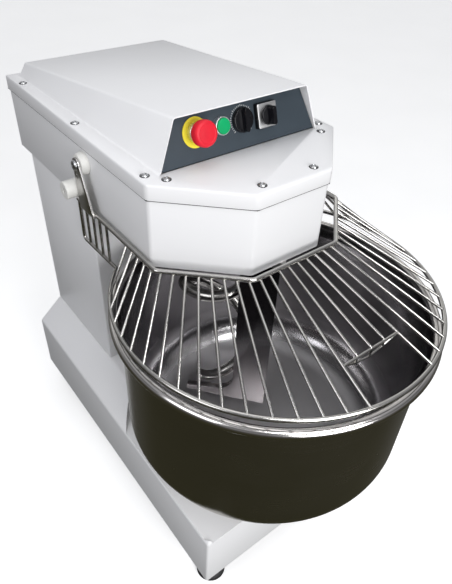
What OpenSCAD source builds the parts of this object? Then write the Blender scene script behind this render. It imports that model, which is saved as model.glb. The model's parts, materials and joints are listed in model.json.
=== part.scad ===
// Spiral dough mixer with a turning bowl, a spiral hook, a fixed breaker bar,
// a tilting wire guard and a sheet-metal head, column and base.
// Millimetres, +Z up, front towards -Y. Origin: centre of the footprint, on the floor.
// Parts are drawn with y from the bowl's axis and z from the rim; machine() places them.
// Name endings: _r radius, _t thickness, _hw half width, _h height, _c centre in plan.

/* [Bowl] */
// Outer radius of the rolled rim
rim_r = 290; // [280:1:300]
// Radius of the rolled rim's tube
bead_r = 9; // [6:0.5:11]
// Outer radius of the bowl wall
bowl_r = 272; // [262:1:274]
// Outer depth of the bowl below the rim
bowl_depth = 331; // [300:1:335]
// Outer corner radius between wall and floor
bowl_corner = 86; // [50:1:110]
// Sheet thickness of the bowl
bowl_t = 3; // [2:0.5:4]

/* [Base] */
// Height of the base's underside above the floor
ground_gap = 70; // [60:1:90]
// Height of the rim above the base's underside
rim_above_base = 497; // [480:1:520]
// Full width of the base
base_w = 499; // [480:1:520]
// Front end of the base, measured from the bowl's axis
base_front = -154; // [-180:1:-130]
// Rear end of the base, measured from the bowl's axis
base_rear = 579; // [570:1:590]
// Height of the base's flat top, below the rim
base_top = -297; // [-305:1:-285]
// Height of the base's side edge, below the rim
base_side = -348; // [-356:1:-340]
// Half width of the base's flat top
base_top_hw = 191; // [186:1:200]

/* [Column] */
// Half width of the column
col_hw = 189; // [180:1:189]
// Front face of the column, from the bowl's axis
col_front = 310; // [300:1:315]
// Rear face of the column, from the bowl's axis
col_rear = 575; // [565:1:577]

/* [Head] */
// Half width of the head
head_hw = 190; // [185:1:192]
// Half width of the head's front face
head_front_hw = 73; // [60:1:90]
// Front face of the head, from the bowl's axis
head_front = -14; // [-20:1:-5]
// Where the head's slanted corners meet its sides
head_corner_y = 97; // [80:1:110]
// Rear face of the head, from the bowl's axis
head_rear = 632; // [620:1:640]
// Underside of the head above the rim
head_z0 = 99; // [90:1:105]
// Top of the cover's flange above the rim
head_z1 = 245; // [238:1:250]
// Depth of the cover's lip
lip_h = 25; // [15:1:30]
// Top of the hood at its front edge above the rim
hood_front_z = 324; // [310:1:335]
// Top of the hood at its rear edge above the rim
hood_rear_z = 274; // [262:1:290]

/* [Spiral and breaker] */
// Distance of the spiral's axis behind the bowl's axis
spiral_y = 160; // [155:1:162]
// Centreline radius of the spiral's coil
spiral_r = 70; // [60:1:71]
// Rod radius of the spiral
spiral_rod = 12; // [9:0.5:12]
// Width of the breaker bar
bar_w = 68; // [50:1:70]
// Thickness of the breaker bar
bar_t = 14; // [8:1:16]
// Lower edge of the breaker bar, below the rim
bar_z0 = -288; // [-300:1:-270]

/* [Guard] */
// Radius of the guard ring's centreline
ring_r = 283; // [278:1:285]
// Height of the guard ring above the rim
ring_z = 33; // [25:1:40]
// Height of the guard's inner frame above the rim
frame_z = 113; // [110:1:117]
// Half width of the guard's inner frame
frame_hw = 200; // [199:1:202]
// Rod radius of ring and frame
ring_rod = 4; // [3:0.5:5]
// Radius of the guard's wires
wire_r = 2.4; // [1.5:0.1:3]
// Number of spaces between wires round the ring
wire_n = 34; // [30:2:38]

/* [Controls] */
// Lean of the control panel away from upright, degrees
panel_lean = 16.7; // [10:0.1:20]
// Height of the controls' centreline up the panel
control_v = 45; // [40:1:48]
// Diameter of the stop button's mushroom
mushroom_d = 40; // [34:1:40]

/* [Hidden] */
$fn = 48;
overlap = 0.01;
sheet_t = 2;                                 // casing sheet
lip_out = 3;                                 // cover's lip outside the head wall
bowl_y = -(head_rear + lip_out - rim_r) / 2; // centres the footprint
rim_z = ground_gap + rim_above_base;         // rim above the floor
floor_z = -rim_z;
base_z = -rim_above_base;
deck_z = -417;                               // top of the frame's deck plates

bowl_c = [0, 0];
spiral_c = [0, spiral_y];
drive_c = [40, 450];                         // gearmotor
lay_c = [-100, 360];                         // countershaft
foot_c = [205, -110];
wheel_c = [205, 520, floor_z + 30];

chain_pitch = 12.7;
drive_teeth = 22;
spiral_teeth = 16;
lay_teeth = 22;
lay_low_teeth = 10;
bowl_teeth = 70;
spiral_chain_z = 152;
lay_chain_z = 176;
bowl_chain_z = -440;

guard_pivot = [302, 193];                    // y, z
guard_stop = [326.4, 138];                   // y, z
cable_at = [130, -255];                      // x, z

casing_grey = [0.86, 0.87, 0.87];
housing_grey = [0.32, 0.36, 0.4];
motor_blue = [0.3, 0.36, 0.42];
steel = [0.72, 0.73, 0.75];
guard_steel = [0.72, 0.73, 0.74];
bright_steel = [0.75, 0.76, 0.78];
zinc = [0.6, 0.61, 0.62];
bolt_grey = [0.62, 0.63, 0.64];
sprocket_grey = [0.4, 0.41, 0.43];
chain_grey = [0.45, 0.45, 0.45];
nylon = [0.93, 0.93, 0.9];
rubber = [0.12, 0.12, 0.13];
tyre_black = [0.1, 0.1, 0.11];
knob_black = [0.06, 0.06, 0.07];

// ---------- helpers ----------
function lerp(a, b, t) = a + t * (b - a);
function polar(r, a) = [r * cos(a), r * sin(a)];
function four_round(centre, r, first) = [for (a = [first:90:first + 270]) centre + polar(r, a)];
function pitch_r(teeth) = chain_pitch / 2 / sin(180 / teeth);

module machine() { translate([0, bowl_y, rim_z]) children(); }
module both_sides() {
  children();
  mirror([1, 0, 0]) children();
}
// local +Z turned to +X or +Y
module along_x(x, yz) { translate([x, yz[0], yz[1]]) rotate([0, 90, 0]) children(); }
module along_y(xz, y) { translate([xz[0], y, xz[1]]) rotate([-90, 0, 0]) children(); }
// round bars along each axis
module bar_x(x, yz, length, r) { along_x(x, yz) cylinder(r = r, h = length); }
module bar_y(xz, y, length, r) { along_y(xz, y) cylinder(r = r, h = length); }
module post(at, z0, z1, r) { translate([at[0], at[1], z0]) cylinder(r = r, h = z1 - z0); }
module disc(z, h, r) { translate([0, 0, z]) cylinder(r = r, h = h); }
module sleeve(at, z0, z1, outer_r, inner_r) {
  difference() {
    post(at, z0, z1, outer_r);
    post(at, z0 - 1, z1 + 1, inner_r);
  }
}
// a round rod between two points
module rod(start, end, r) {
  d = end - start;
  length = norm(d);
  translate(start) rotate([0, acos(d[2] / length), atan2(d[1], d[0])])
    cylinder(r = r, h = length);
}
// a box given as [from, to] along each axis
module block(x, y, z) {
  translate([x[0], y[0], z[0]]) cube([x[1] - x[0], y[1] - y[0], z[1] - z[0]]);
}
// domed socket screw, head up, shank down
module button_screw(head_r, head_h, shank_r, shank_l) {
  dome_r = (head_r * head_r + head_h * head_h) / (2 * head_h);
  difference() {
    union() {
      disc(-shank_l, shank_l + overlap, shank_r);
      intersection() {
        translate([0, 0, head_h - dome_r]) sphere(r = dome_r);
        cylinder(r = head_r, h = head_h + 1);
      }
    }
    translate([0, 0, head_h * 0.45]) cylinder(r = head_r * 0.42, h = head_h, $fn = 6);
  }
}

// ---------- base and column ----------
column_posts_y = [316, 527];
column_post_w = 39;
cross_beams_y = [-140, 240, 525];
bowl_bolts = four_round(bowl_c, 75, 45);
rear_screws = [for (s = [-1, 1]) for (z = [-270, -100, 75]) [s * 180.5, z]];   // x, z

// the base's outside moved in by inset, with the round dish under the bowl
module base_form(inset) {
  side_hw = base_w / 2 - inset;
  top_hw = base_top_hw - inset * 0.4;
  bottom_z = base_z - (inset > 0 ? 1 : 0);   // the inner form runs out through the underside
  side_z = base_side - inset * 0.4;
  top_z = base_top - inset;
  difference() {
    translate([0, base_rear - inset, 0]) rotate([90, 0, 0])
      linear_extrude(base_rear - base_front - 2 * inset)
        polygon([[-side_hw, bottom_z], [side_hw, bottom_z], [side_hw, side_z],
          [top_hw, top_z], [-top_hw, top_z], [-side_hw, side_z]]);
    post(bowl_c, -347 - inset, 0, 285 + inset);
  }
}
module base_shell() {
  color(casing_grey) machine() difference() {
    base_form(0);
    base_form(sheet_t);
    post(bowl_c, -352, -340, 66);
    block([-col_hw + 3, col_hw - 3], [col_front + 5, col_rear - 5], [base_top - 6, base_top + 6]);
    both_sides() post(foot_c, base_z - 5, base_z + 6, 12);
  }
}
module welded_frame() {
  color([0.35, 0.36, 0.38]) machine() difference() {
    union() {
      both_sides() for (y = column_posts_y)
        block([146, 185], [y, y + column_post_w], [deck_z - 0.1, head_z0 - 0.1]);
      both_sides() block([195, 235], [-140, 565], [-493, -425]);
      for (y = cross_beams_y) block([-195 - overlap, 195 + overlap], [y, y + 40], [-493, -455]);
      for (y = [[-105, 105], [300, 572]]) block([-235, 235], y, [-425 - overlap, deck_z]);
    }
    // hollows of the rails, posts and cross beams
    both_sides() block([198, 232], [-150, 580], [-490, -428]);
    both_sides() for (y = column_posts_y)
      block([149, 182], [y + 3, y + column_post_w - 3], [deck_z + 1, head_z0 + 2]);
    for (y = cross_beams_y) block([-190, 190], [y + 3, y + 37], [-490, -458]);
    // holes for the shafts, bowl bolts and feet
    post(bowl_c, -430, -410, 40);
    post(lay_c, -430, -410, 20);
    for (p = bowl_bolts) post(p, -430, -410, 5);
    both_sides() post(foot_c, -500, -480, 6.2);
  }
}
module column_shell() {
  inner_hw = col_hw - sheet_t;
  flange_hw = col_hw - 16;
  open_z = [base_top - 1, head_z0 + 1];
  color(casing_grey) machine() difference() {
    block([-col_hw, col_hw], [col_front, col_rear], [base_top + 0.05, head_z0 - 0.1]);
    block([-inner_hw, inner_hw], [col_front + sheet_t, col_rear - sheet_t], open_z);
    block([-flange_hw, flange_hw], [col_rear - 5, col_rear + 1], open_z);
    for (p = rear_screws) bar_y(p, col_rear - 5, 9, 2.6);
  }
}
module column_rear_cover() {
  color([0.84, 0.85, 0.85]) machine() difference() {
    block([-col_hw, col_hw], [col_rear + 0.1, col_rear + 2.1], [base_top + 0.5, head_z0 - 0.5]);
    // two columns of slots
    for (i = [0:9]) for (s = [-1, 1])
      block([s * 62 - 45, s * 62 + 45], [col_rear - 1, col_rear + 3], [-230, -225] + 14 * [i, i]);
    for (p = rear_screws) bar_y(p, col_rear - 2, 6, 2.6);
    bar_y(cable_at, col_rear - 2, 6, 10.2);
  }
}
module rear_cover_screws() {
  color(zinc) machine() for (p = rear_screws)
    along_y(p, col_rear + 2.12) button_screw(5, 2.6, 2.4, 7);
}

// ---------- head ----------
// cover screws, [x, y]; the table holds the right-hand side
cover_screw_points = [for (s = [-1, 1])
  for (p = [[52, 3], [158, 93], [178.5, 120], [180.5, 345], [180.5, 572]]) [s * p[0], p[1]]];
spiral_housing_bolts = four_round(spiral_c, 66, 45);
// breaker bar's place in plan, its turn, and its flange bolts along and across it
bar_c = [-12, 30.5];
bar_turn = 130.8;
flange_bolts_local = [for (s = [-1, 1]) for (q = [-1, 1]) [s * 30, q * 20]];
flange_bolts = [for (p = flange_bolts_local) bar_c
  + [p[0] * cos(bar_turn) - p[1] * sin(bar_turn), p[0] * sin(bar_turn) + p[1] * cos(bar_turn)]];

// the head's plan moved outward by out, between two heights
module head_slab(z0, z1, out) {
  slant = atan2(head_corner_y - head_front, head_hw - head_front_hw);
  front_hw = head_front_hw + out * tan(slant / 2);
  front_y = head_front - out;
  side_hw = head_hw + out;
  corner_y = head_corner_y - out * tan((90 - slant) / 2);
  rear_y = head_rear + out;
  translate([0, 0, z0]) linear_extrude(z1 - z0)
    polygon([[front_hw, front_y], [side_hw, corner_y], [side_hw, rear_y],
      [-side_hw, rear_y], [-side_hw, corner_y], [-front_hw, front_y]]);
}
module head_body() {
  body_top = head_z1 - sheet_t - 0.2;
  color([0.88, 0.89, 0.89]) machine() difference() {
    union() {
      difference() {
        head_slab(head_z0, body_top, 0);
        head_slab(head_z0 - 1, body_top - sheet_t, -sheet_t);
        // opening in the top, leaving a flange
        head_slab(head_z0 - 1, head_z0 + 199, -26);
      }
      for (p = cover_screw_points) post(p, head_z1 - 22, head_z1 - 2 * sheet_t, 6.5);
    }
    for (p = cover_screw_points) post(p, head_z1 - 30, head_z1, 2.4);
    both_sides() bar_x(head_hw - 5, guard_pivot, 10, 6.2);
    both_sides() bar_x(head_hw - 5, guard_stop, 10, 4.2);
  }
}
module plate_hole(at, r) { post(at, 90, 120, r); }
module head_plate() {
  color([0.5, 0.51, 0.53]) machine() difference() {
    head_slab(head_z0, head_z0 + 8, -sheet_t - 0.3);
    plate_hole(spiral_c, 52);
    plate_hole(drive_c, 22);
    plate_hole(lay_c, 20);
    for (p = spiral_housing_bolts) plate_hole(p, 4.3);
    for (p = flange_bolts) plate_hole(p, 4.1);
  }
}

// Hood: four-sided, leaning in at the sides and rear, its top falling to the rear.
hood_foot_front = [160, 107];                // half width, y
hood_foot_rear = [172, 615];                 // half width, y
hood_top_y = 114;                            // front edge of the top
hood_side_lean = 0.3692;                     // inward per unit of height
hood_rear_lean = 15 / 29;                    // forward per unit of height
hood_top_fall = (hood_front_z - hood_rear_z) / (600 - hood_top_y);
// shift along x, z or y for each unit of inset square to the side, top or rear
side_shift = 1.066;
top_shift = 1.005;
rear_shift = 1.126;

function hood_side_x(y, z, inset) = hood_foot_front[0] - inset * side_shift
  + (hood_foot_rear[0] - hood_foot_front[0]) / (hood_foot_rear[1] - hood_foot_front[1])
    * (y - hood_foot_front[1])
  - hood_side_lean * (z - head_z1);
function hood_top_z(y, inset) =
  hood_front_z - inset * top_shift - hood_top_fall * (y - hood_top_y);
function hood_rear_y(z, inset) =
  hood_foot_rear[1] - inset * rear_shift - hood_rear_lean * (z - head_z1);
// where the top meets the rear
function hood_corner_z(inset) =
  (hood_top_z(0, inset) - hood_top_fall * hood_rear_y(0, inset))
  / (1 - hood_top_fall * hood_rear_lean);
// four corners of a level of the hood; front and rear are [y, z]
function hood_corners(front, rear, inset) =
  [for (c = [[-1, front], [1, front], [1, rear], [-1, rear]])
    [c[0] * hood_side_x(c[1][0], c[1][1], inset), c[1][0], c[1][1]]];

module hood_form(inset, foot_y, top_y, foot_z) {
  corner_z = hood_corner_z(inset);
  foot = hood_corners([foot_y, foot_z], [hood_rear_y(foot_z, inset), foot_z], inset);
  top = hood_corners([top_y, hood_top_z(top_y, inset)],
    [hood_rear_y(corner_z, inset), corner_z], inset);
  polyhedron(concat(foot, top), [[0, 1, 2, 3], [4, 7, 6, 5],
    [0, 4, 5, 1], [1, 5, 6, 2], [2, 6, 7, 3], [3, 7, 4, 0]]);
}
module head_cover() {
  color([0.9, 0.91, 0.91]) machine() difference() {
    union() {
      head_slab(head_z1 - lip_h, head_z1, lip_out);
      hood_form(0, hood_foot_front[1], hood_top_y, head_z1 - 0.5);
    }
    head_slab(head_z1 - lip_h - 1, head_z1 - sheet_t, lip_out - sheet_t);
    // hollow of the hood, open at the front behind the control panel
    intersection() {
      hood_form(sheet_t, 80, 80, head_z1 - 5);
      union() {
        block([-300, 300], [111.2, 700], [head_z1 - 10, 400]);
        block([-300, 300], [60, 112], [head_z1, 400]);
      }
    }
    for (p = cover_screw_points) post(p, head_z1 - 5, head_z1 + 2, 3.4);
  }
}
module cover_screws() {
  color(bolt_grey) machine() for (p = cover_screw_points)
    translate([p[0], p[1], head_z1 + 0.02]) button_screw(6.3, 3.4, 2.3, 16);
}

// ---------- control panel ----------
// u runs across the panel, v up it; local +Z is its outward normal
estop_u = -86;
start_u = -39;
timer_u = 4;
selector_u = 50;
selector_v = control_v - 1;
button_neck_r = 11;
mushroom_r = mushroom_d / 2;

module on_panel(u, v = control_v) {
  machine()
    translate([u, 111.5 + v * sin(panel_lean), head_z1 + v * cos(panel_lean)])
      rotate([90 - panel_lean, 0, 0]) children();
}
module control_panel() {
  color([0.27, 0.31, 0.35]) on_panel(0, 0) difference() {
    translate([0, 0, -2.5]) linear_extrude(2.5)
      polygon([[-156.6, 1], [156.6, 1], [130.2, 76], [-130.2, 76]]);
    // holes: u, v, radius
    for (hole = [[estop_u, control_v, 11.2], [start_u, control_v, 11.2],
        [timer_u, control_v, 5.2], [selector_u, selector_v, 8]])
      translate([hole[0], hole[1], -5]) cylinder(r = hole[2], h = 10);
  }
}
// ring behind the panel, round a button's neck
module panel_nut() {
  difference() {
    disc(-8, 5.4, 15);
    disc(-10, 10, button_neck_r + 0.1);
  }
}
module estop_ring() {
  color([0.95, 0.85, 0.1]) on_panel(estop_u) difference() {
    disc(0.02, 1.6, 23);
    disc(-1, 5, 11.2);
  }
}
module estop_collar() {
  color(bright_steel) on_panel(estop_u) {
    difference() {
      union() {
        disc(1.64, 8, 14.5);
        disc(-14, 16, button_neck_r);
      }
      disc(-20, 40, 7.3);
    }
    panel_nut();
  }
}
module estop_button() {
  color([0.85, 0.1, 0.12]) on_panel(estop_u) rotate_extrude()
    polygon([[0, -12], [7.2, -12], [7.2, 16], [mushroom_r - 2.6, 17],
      [mushroom_r - 0.5, 19], [mushroom_r, 22], [mushroom_r, 28],
      for (a = [0:15:90]) [mushroom_r - 5 + 5 * cos(a), 29.5 + 4 * sin(a)], [0, 34.5]]);
}
module start_bezel() {
  color([0.8, 0.81, 0.83]) on_panel(start_u) {
    difference() {
      union() {
        disc(0.02, 9.5, 14.2);
        disc(-14, 15, button_neck_r);
      }
      disc(-20, 40, 10.3);
      disc(3, 10, 12.3);
    }
    panel_nut();
  }
}
module start_button() {
  color([0.05, 0.6, 0.35]) on_panel(start_u) {
    disc(7.2, 4.6, 12.2);
    disc(-12, 20, 10.2);
  }
}
module contact_blocks() {
  color([0.15, 0.15, 0.16]) {
    on_panel(estop_u) difference() {
      block([-15, 15], [-20, 20], [-44, -20]);
      disc(-46, 14, 7.5, $fn = 24);
    }
    on_panel(start_u) difference() {
      block([-15, 15], [-20, 20], [-40, -18]);
      disc(-42, 10, 6, $fn = 24);
    }
  }
}
// the scale's ticks as shallow ribs, every fifth one longer
module timer_dial() {
  color([0.85, 0.86, 0.86]) on_panel(timer_u) for (i = [0:30])
    rotate(-135 + i * 9) translate([-0.35, 20.6, 0.02]) cube([0.7, i % 5 == 0 ? 3.4 : 2.2, 0.25]);
}
module timer_body() {
  color([0.2, 0.2, 0.21]) on_panel(timer_u) difference() {
    union() {
      block([-22, 22], [-22, 22], [-40, -3]);
      disc(-4, 5, 5);
    }
    disc(-30, 50, 3.05);
  }
}
// cuts away both sides of a knob's top, leaving a grip across the middle
module grip_cuts(x, w, z) {
  for (s = [-1, 1]) translate([s * x - w / 2, -30, z]) cube([w, 60, 20]);
}
module timer_knob() {
  color(knob_black) on_panel(timer_u) {
    difference() {
      rotate_extrude() polygon([[0, 1.6], [19.6, 1.6], [19.6, 5.5], [18.4, 7.5],
        [17.6, 15], [16.2, 16.5], [0, 16.5]]);
      grip_cuts(12.2, 14.4, 7.2);
    }
    disc(-26, 28, 3);
  }
}
module selector_plate() {
  color([0.82, 0.83, 0.85]) on_panel(selector_u, selector_v) difference() {
    block([-19, 19], [-19, 19], [8.02, 9.42]);
    disc(5, 10, 14);
  }
}
module selector_body() {
  color([0.07, 0.07, 0.08]) on_panel(selector_u, selector_v) difference() {
    union() {
      block([-20, 20], [-20, 20], [0.02, 8]);
      block([-19, 19], [-19, 19], [-46, -3]);
      disc(-4, 5, 7.8);
    }
    disc(-30, 60, 3.55);
  }
}
module selector_knob() {
  color(knob_black) on_panel(selector_u, selector_v) {
    disc(9.6, 5, 15.5);
    difference() {
      disc(14, 15, 15);
      grip_cuts(12.5, 16, 15);
    }
    disc(-26, 38, 3.5);
  }
}

// ---------- breaker bar ----------
module at_bar() { machine() translate([bar_c[0], bar_c[1], 0]) rotate(bar_turn) children(); }
// flat blade with a foot that runs beside the coil, joined by a hollow fillet
module breaker_bar() {
  edge_x = bar_w / 2;
  toe_x = edge_x + 98;
  fillet_r = 40;
  fillet_x = edge_x + fillet_r;
  fillet_z = bar_z0 + 62;
  color([0.55, 0.56, 0.58]) at_bar() rotate([90, 0, 0])
    translate([0, 0, -bar_t / 2]) linear_extrude(bar_t) difference() {
      union() {
        translate([-edge_x, bar_z0]) square([bar_w, 87.3 - bar_z0]);
        polygon([[edge_x - 1, bar_z0], [toe_x, bar_z0 + 4], [toe_x, bar_z0 + 17],
          [fillet_x, bar_z0 + 22], [fillet_x, fillet_z], [edge_x - 1, fillet_z]]);
      }
      translate([fillet_x, fillet_z]) circle(r = fillet_r);
    }
}
module breaker_flange() {
  color([0.7, 0.71, 0.73]) at_bar() difference() {
    block([-42, 42], [-30, 30], [87, 98.95]);
    for (p = flange_bolts_local) post(p, 80, 110, 4.1);
  }
}
module breaker_bolts() {
  color(zinc) machine() for (p = flange_bolts) {
    post(p, 80, 116, 3.95);
    post(p, 80, 86.9, 7.2, $fn = 6);
    difference() {
      post(p, 107.2, 113.2, 7.2, $fn = 6);
      post(p, 100, 120, 3.94);
    }
  }
}

// ---------- sprockets and chains ----------
// a tooth's corners: [fraction of the tooth pitch, distance outside the pitch circle]
tooth = [[-0.30, -3.6], [-0.16, 0.4], [-0.07, 3.6], [0.07, 3.6], [0.16, 0.4], [0.30, -3.6]];
module sprocket(at, z, teeth, bore_r, hub_r, hub_h) {
  translate([at[0], at[1], z]) {
    translate([0, 0, -3.5]) linear_extrude(7) difference() {
      polygon([for (i = [0:teeth - 1]) for (corner = tooth)
        polar(pitch_r(teeth) + corner[1], (i + corner[0]) * 360 / teeth)]);
      circle(r = bore_r);
    }
    difference() {
      disc(-3.5, hub_h, hub_r);
      disc(-5, hub_h + 5, bore_r);
    }
  }
}
// outline of a belt round two circles
module belt_outline(c1, r1, c2, r2) {
  d = c2 - c1;
  heading = atan2(d[1], d[0]);
  touch = acos((r1 - r2) / norm(d));
  polygon([
    for (i = [0:36]) c1 + polar(r1, heading + touch + (360 - 2 * touch) * i / 36),
    for (i = [0:18]) c2 + polar(r2, heading - touch + 2 * touch * i / 18)]);
}
// a chain drawn as its two rows of side plates, clear of the teeth on both sides
module chain(c1, teeth1, c2, teeth2, z) {
  r1 = pitch_r(teeth1);
  r2 = pitch_r(teeth2);
  for (s = [-1, 1]) translate([0, 0, z + s * 4.7 - 0.75]) linear_extrude(1.5) difference() {
    belt_outline(c1, r1 + 5.5, c2, r2 + 5.5);
    belt_outline(c1, r1 - 5.5, c2, r2 - 5.5);
  }
}

// ---------- spiral ----------
spiral_shaft_r = 22.5;
spiral_flange_r = 55;
spiral_flange_bolts = four_round(spiral_c, 43, 0);

module spiral_housing() {
  color(housing_grey) machine() difference() {
    union() {
      post(spiral_c, 86, 140, 51.5);
      post(spiral_c, 107.05, 117, 78);
    }
    post(spiral_c, 80, 150, 24);
    post(spiral_c, 88, 150, 42.5);
    for (p = spiral_housing_bolts) post(p, 100, 120, 4.3);
  }
}
module spiral_bearings() {
  color(bright_steel) machine() for (z = [90, 120])
    sleeve(spiral_c, z, z + 19, 42.45, spiral_shaft_r + 0.05);
}
module spiral_seal() {
  color(rubber) machine() sleeve(spiral_c, 80.5, 85.9, 36, spiral_shaft_r + 0.1);
}
module spiral_shaft() {
  color(steel) machine() difference() {
    union() {
      post(spiral_c, 66, 172, spiral_shaft_r);
      post(spiral_c, 66.05, 78, spiral_flange_r);
    }
    for (p = spiral_flange_bolts) post(p, 60, 85, 4.2);
  }
}
module spiral_sprocket() {
  color(sprocket_grey) machine()
    sprocket(spiral_c, spiral_chain_z, spiral_teeth, spiral_shaft_r + 0.05, 26.4, 18);
}

// Hook centreline: out from the hub, round the upper loop, then down the coil to the tip.
// [fraction of the way along, height]
hook_heights = [
  [0, 42], [0.05, 39.6], [0.09, 34.5], [0.13, 27], [0.18, 6], [0.23, -18],
  [0.28, -34], [0.34, -42], [0.40, -46], [0.45, -55], [0.50, -74], [0.55, -98],
  [0.60, -124], [0.65, -149], [0.70, -172], [0.80, -213], [0.90, -250], [1, -284]];
function hook_r(s) = spiral_r * (s < 0.13 ? sin(s / 0.13 * 90)
  : s > 0.93 ? 1 - 0.25 * pow((s - 0.93) / 0.07, 2) : 1);
function hook_point(s) = let (p = polar(hook_r(s), 60 - 590 * s))
  [p[0], p[1], lookup(s, hook_heights)];

// a round section carried along a path, drawn in at the last two points
module sweep(path, r, sides) {
  last = len(path) - 1;
  tangent = [for (i = [0:last])
    let (d = path[min(last, i + 1)] - path[max(0, i - 1)]) d / norm(d)];
  level = [for (i = [0:last]) let (c = cross(tangent[i], [0, 0, 1])) c / norm(c)];
  upright = [for (i = [0:last]) cross(level[i], tangent[i])];
  points = [for (i = [0:last])
    let (taper = i == last ? 0.55 : i == last - 1 ? 0.86 : 1)
    for (j = [0:sides - 1]) let (a = 360 * j / sides)
    path[i] + taper * r * (cos(a) * level[i] + sin(a) * upright[i])];
  faces = concat(
    [[for (j = [sides - 1:-1:0]) j]],
    [[for (j = [0:sides - 1]) last * sides + j]],
    [for (i = [0:last - 1]) for (j = [0:sides - 1])
      [i * sides + j, (i + 1) * sides + (j + 1) % sides, (i + 1) * sides + j]],
    [for (i = [0:last - 1]) for (j = [0:sides - 1])
      [i * sides + j, i * sides + (j + 1) % sides, (i + 1) * sides + (j + 1) % sides]]);
  polyhedron(points, faces);
}
module spiral_hook() {
  color([0.7, 0.71, 0.72]) machine() {
    translate([0, spiral_y, 0]) sweep([for (i = [0:72]) hook_point(i / 72)], spiral_rod, 16);
    difference() {
      post(spiral_c, 50, 65.9, spiral_flange_r);
      for (p = spiral_flange_bolts) post(p, 40, 80, 4.2);
    }
    post(spiral_c, 33, 53, 20);
    for (p = spiral_flange_bolts) {
      post(p, 43, 50.05, 6.5, $fn = 6);
      post(p, 43, 77, 4);
    }
  }
}

// ---------- drive ----------
module gearbox() {
  color(motor_blue) machine() translate(drive_c) difference() {
    union() {
      block([-75, 75], [-75, 75], [6, 98.9]);
      disc(-6, 13, 78);
    }
    disc(40, 80, 14.06);
    disc(92, 28, 20);
    for (x = [-67, 67]) for (y = [-67, 67]) post([x, y], 80, 110, 4.2);
  }
}
module motor() {
  color(motor_blue) machine() translate(drive_c) {
    disc(-200, 193.9, 66);
    // cooling fins, left out at the terminal box on the front
    for (a = [0:12:348]) if (abs(a - 270) > 25)
      rotate(a) block([65, 76], [-1.2, 1.2], [-190, -14]);
    block([-35, 35], [-92, -62], [-110, -30]);
  }
}
module motor_fan_cover() {
  color([0.22, 0.24, 0.26]) machine() translate(drive_c) difference() {
    disc(-258, 57.9, 77);
    disc(-255, 56, 75);
    for (i = [-5:5]) block([-50, 50], [i * 9 - 2, i * 9 + 2], [-262, -250]);
  }
}
module drive_shaft() { color(steel) machine() post(drive_c, 45, 198, 14); }
module drive_sprockets() {
  color(sprocket_grey) machine() {
    sprocket(drive_c, spiral_chain_z, drive_teeth, 14.02, 26, 17);
    sprocket(drive_c, lay_chain_z, drive_teeth, 14.02, 26, 16);
  }
}
module countershaft() { color(steel) machine() post(lay_c, -462, 198, 12.5); }
module countershaft_sprockets() {
  color(sprocket_grey) machine() {
    sprocket(lay_c, lay_chain_z, lay_teeth, 12.52, 24, 16);
    sprocket(lay_c, bowl_chain_z, lay_low_teeth, 12.52, 15.5, 7);
  }
}
module countershaft_bearings() {
  color([0.35, 0.4, 0.45]) machine() for (z = [107.1, deck_z + 0.1]) {
    sleeve(lay_c, z, z + 24, 32, 12.55);
    difference() {
      translate([lay_c[0] - 30, lay_c[1] - 42, z]) cube([60, 84, 9]);
      post(lay_c, z - 1, z + 20, 31);
      for (s = [-1, 1]) post(lay_c + [0, s * 37], z - 1, z + 20, 3.3);
    }
  }
}
module head_chains() {
  color(chain_grey) machine() {
    chain(drive_c, drive_teeth, spiral_c, spiral_teeth, spiral_chain_z);
    chain(drive_c, drive_teeth, lay_c, lay_teeth, lay_chain_z);
  }
}
module base_chain() {
  color(chain_grey) machine() chain(bowl_c, bowl_teeth, lay_c, lay_low_teeth, bowl_chain_z);
}

// ---------- bowl ----------
bowl_shaft_r = 25;
bowl_shaft_top = -337.02;

module bowl_housing() {
  color(housing_grey) machine() difference() {
    union() {
      post(bowl_c, deck_z + 0.1, -355, 56);
      post(bowl_c, deck_z + 0.1, -405, 90);
    }
    post(bowl_c, -430, -340, 30);
    post(bowl_c, -410, -340, 45);
    for (p = bowl_bolts) post(p, -430, -400, 5);
  }
}
module bowl_bearings() {
  color(bright_steel) machine() for (z = [-409, -377])
    sleeve(bowl_c, z, z + 20, 44.95, bowl_shaft_r + 0.05);
}
module bowl_shaft() {
  color(steel) machine() {
    post(bowl_c, -462, bowl_shaft_top, bowl_shaft_r);
    post(bowl_c, -345, bowl_shaft_top, 60);
  }
}
module bowl_sprocket() {
  color(sprocket_grey) machine() difference() {
    sprocket(bowl_c, bowl_chain_z, bowl_teeth, bowl_shaft_r + 0.02, 45, 14);
    for (a = [0:60:300]) post(polar(90, a), -450, -420, 26);
  }
}
module bowl_hub() {
  color([0.6, 0.61, 0.63]) machine() post(bowl_c, bowl_shaft_top + 0.02, -bowl_depth - 0.02, 120);
}
// half section of the bowl as a solid, moved in by inset
module bowl_half(inset) {
  corner_x = bowl_r - bowl_corner;
  bottom_z = -bowl_depth + inset;
  corner_z = -bowl_depth + bowl_corner;
  translate([0, bottom_z]) square([corner_x, -bottom_z]);
  translate([0, corner_z]) square([bowl_r - inset, -corner_z]);
  intersection() {
    translate([corner_x, corner_z]) circle(r = bowl_corner - inset, $fn = 96);
    translate([corner_x - 1, bottom_z - 1]) square([bowl_corner + 5, bowl_corner + 1]);
  }
}
module bowl_shell() {
  color([0.62, 0.62, 0.63]) machine() rotate_extrude($fn = 128) {
    difference() {
      bowl_half(0);
      bowl_half(bowl_t);
      translate([-1, -0.5]) square([400, 10]);
    }
    // hollow rolled rim, and the strip joining it to the wall
    difference() {
      translate([rim_r - bead_r, 0]) circle(r = bead_r, $fn = 48);
      translate([rim_r - bead_r, 0]) circle(r = bead_r - 2, $fn = 48);
    }
    translate([bowl_r - bowl_t, -4]) square([5, 7]);
  }
}

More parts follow.
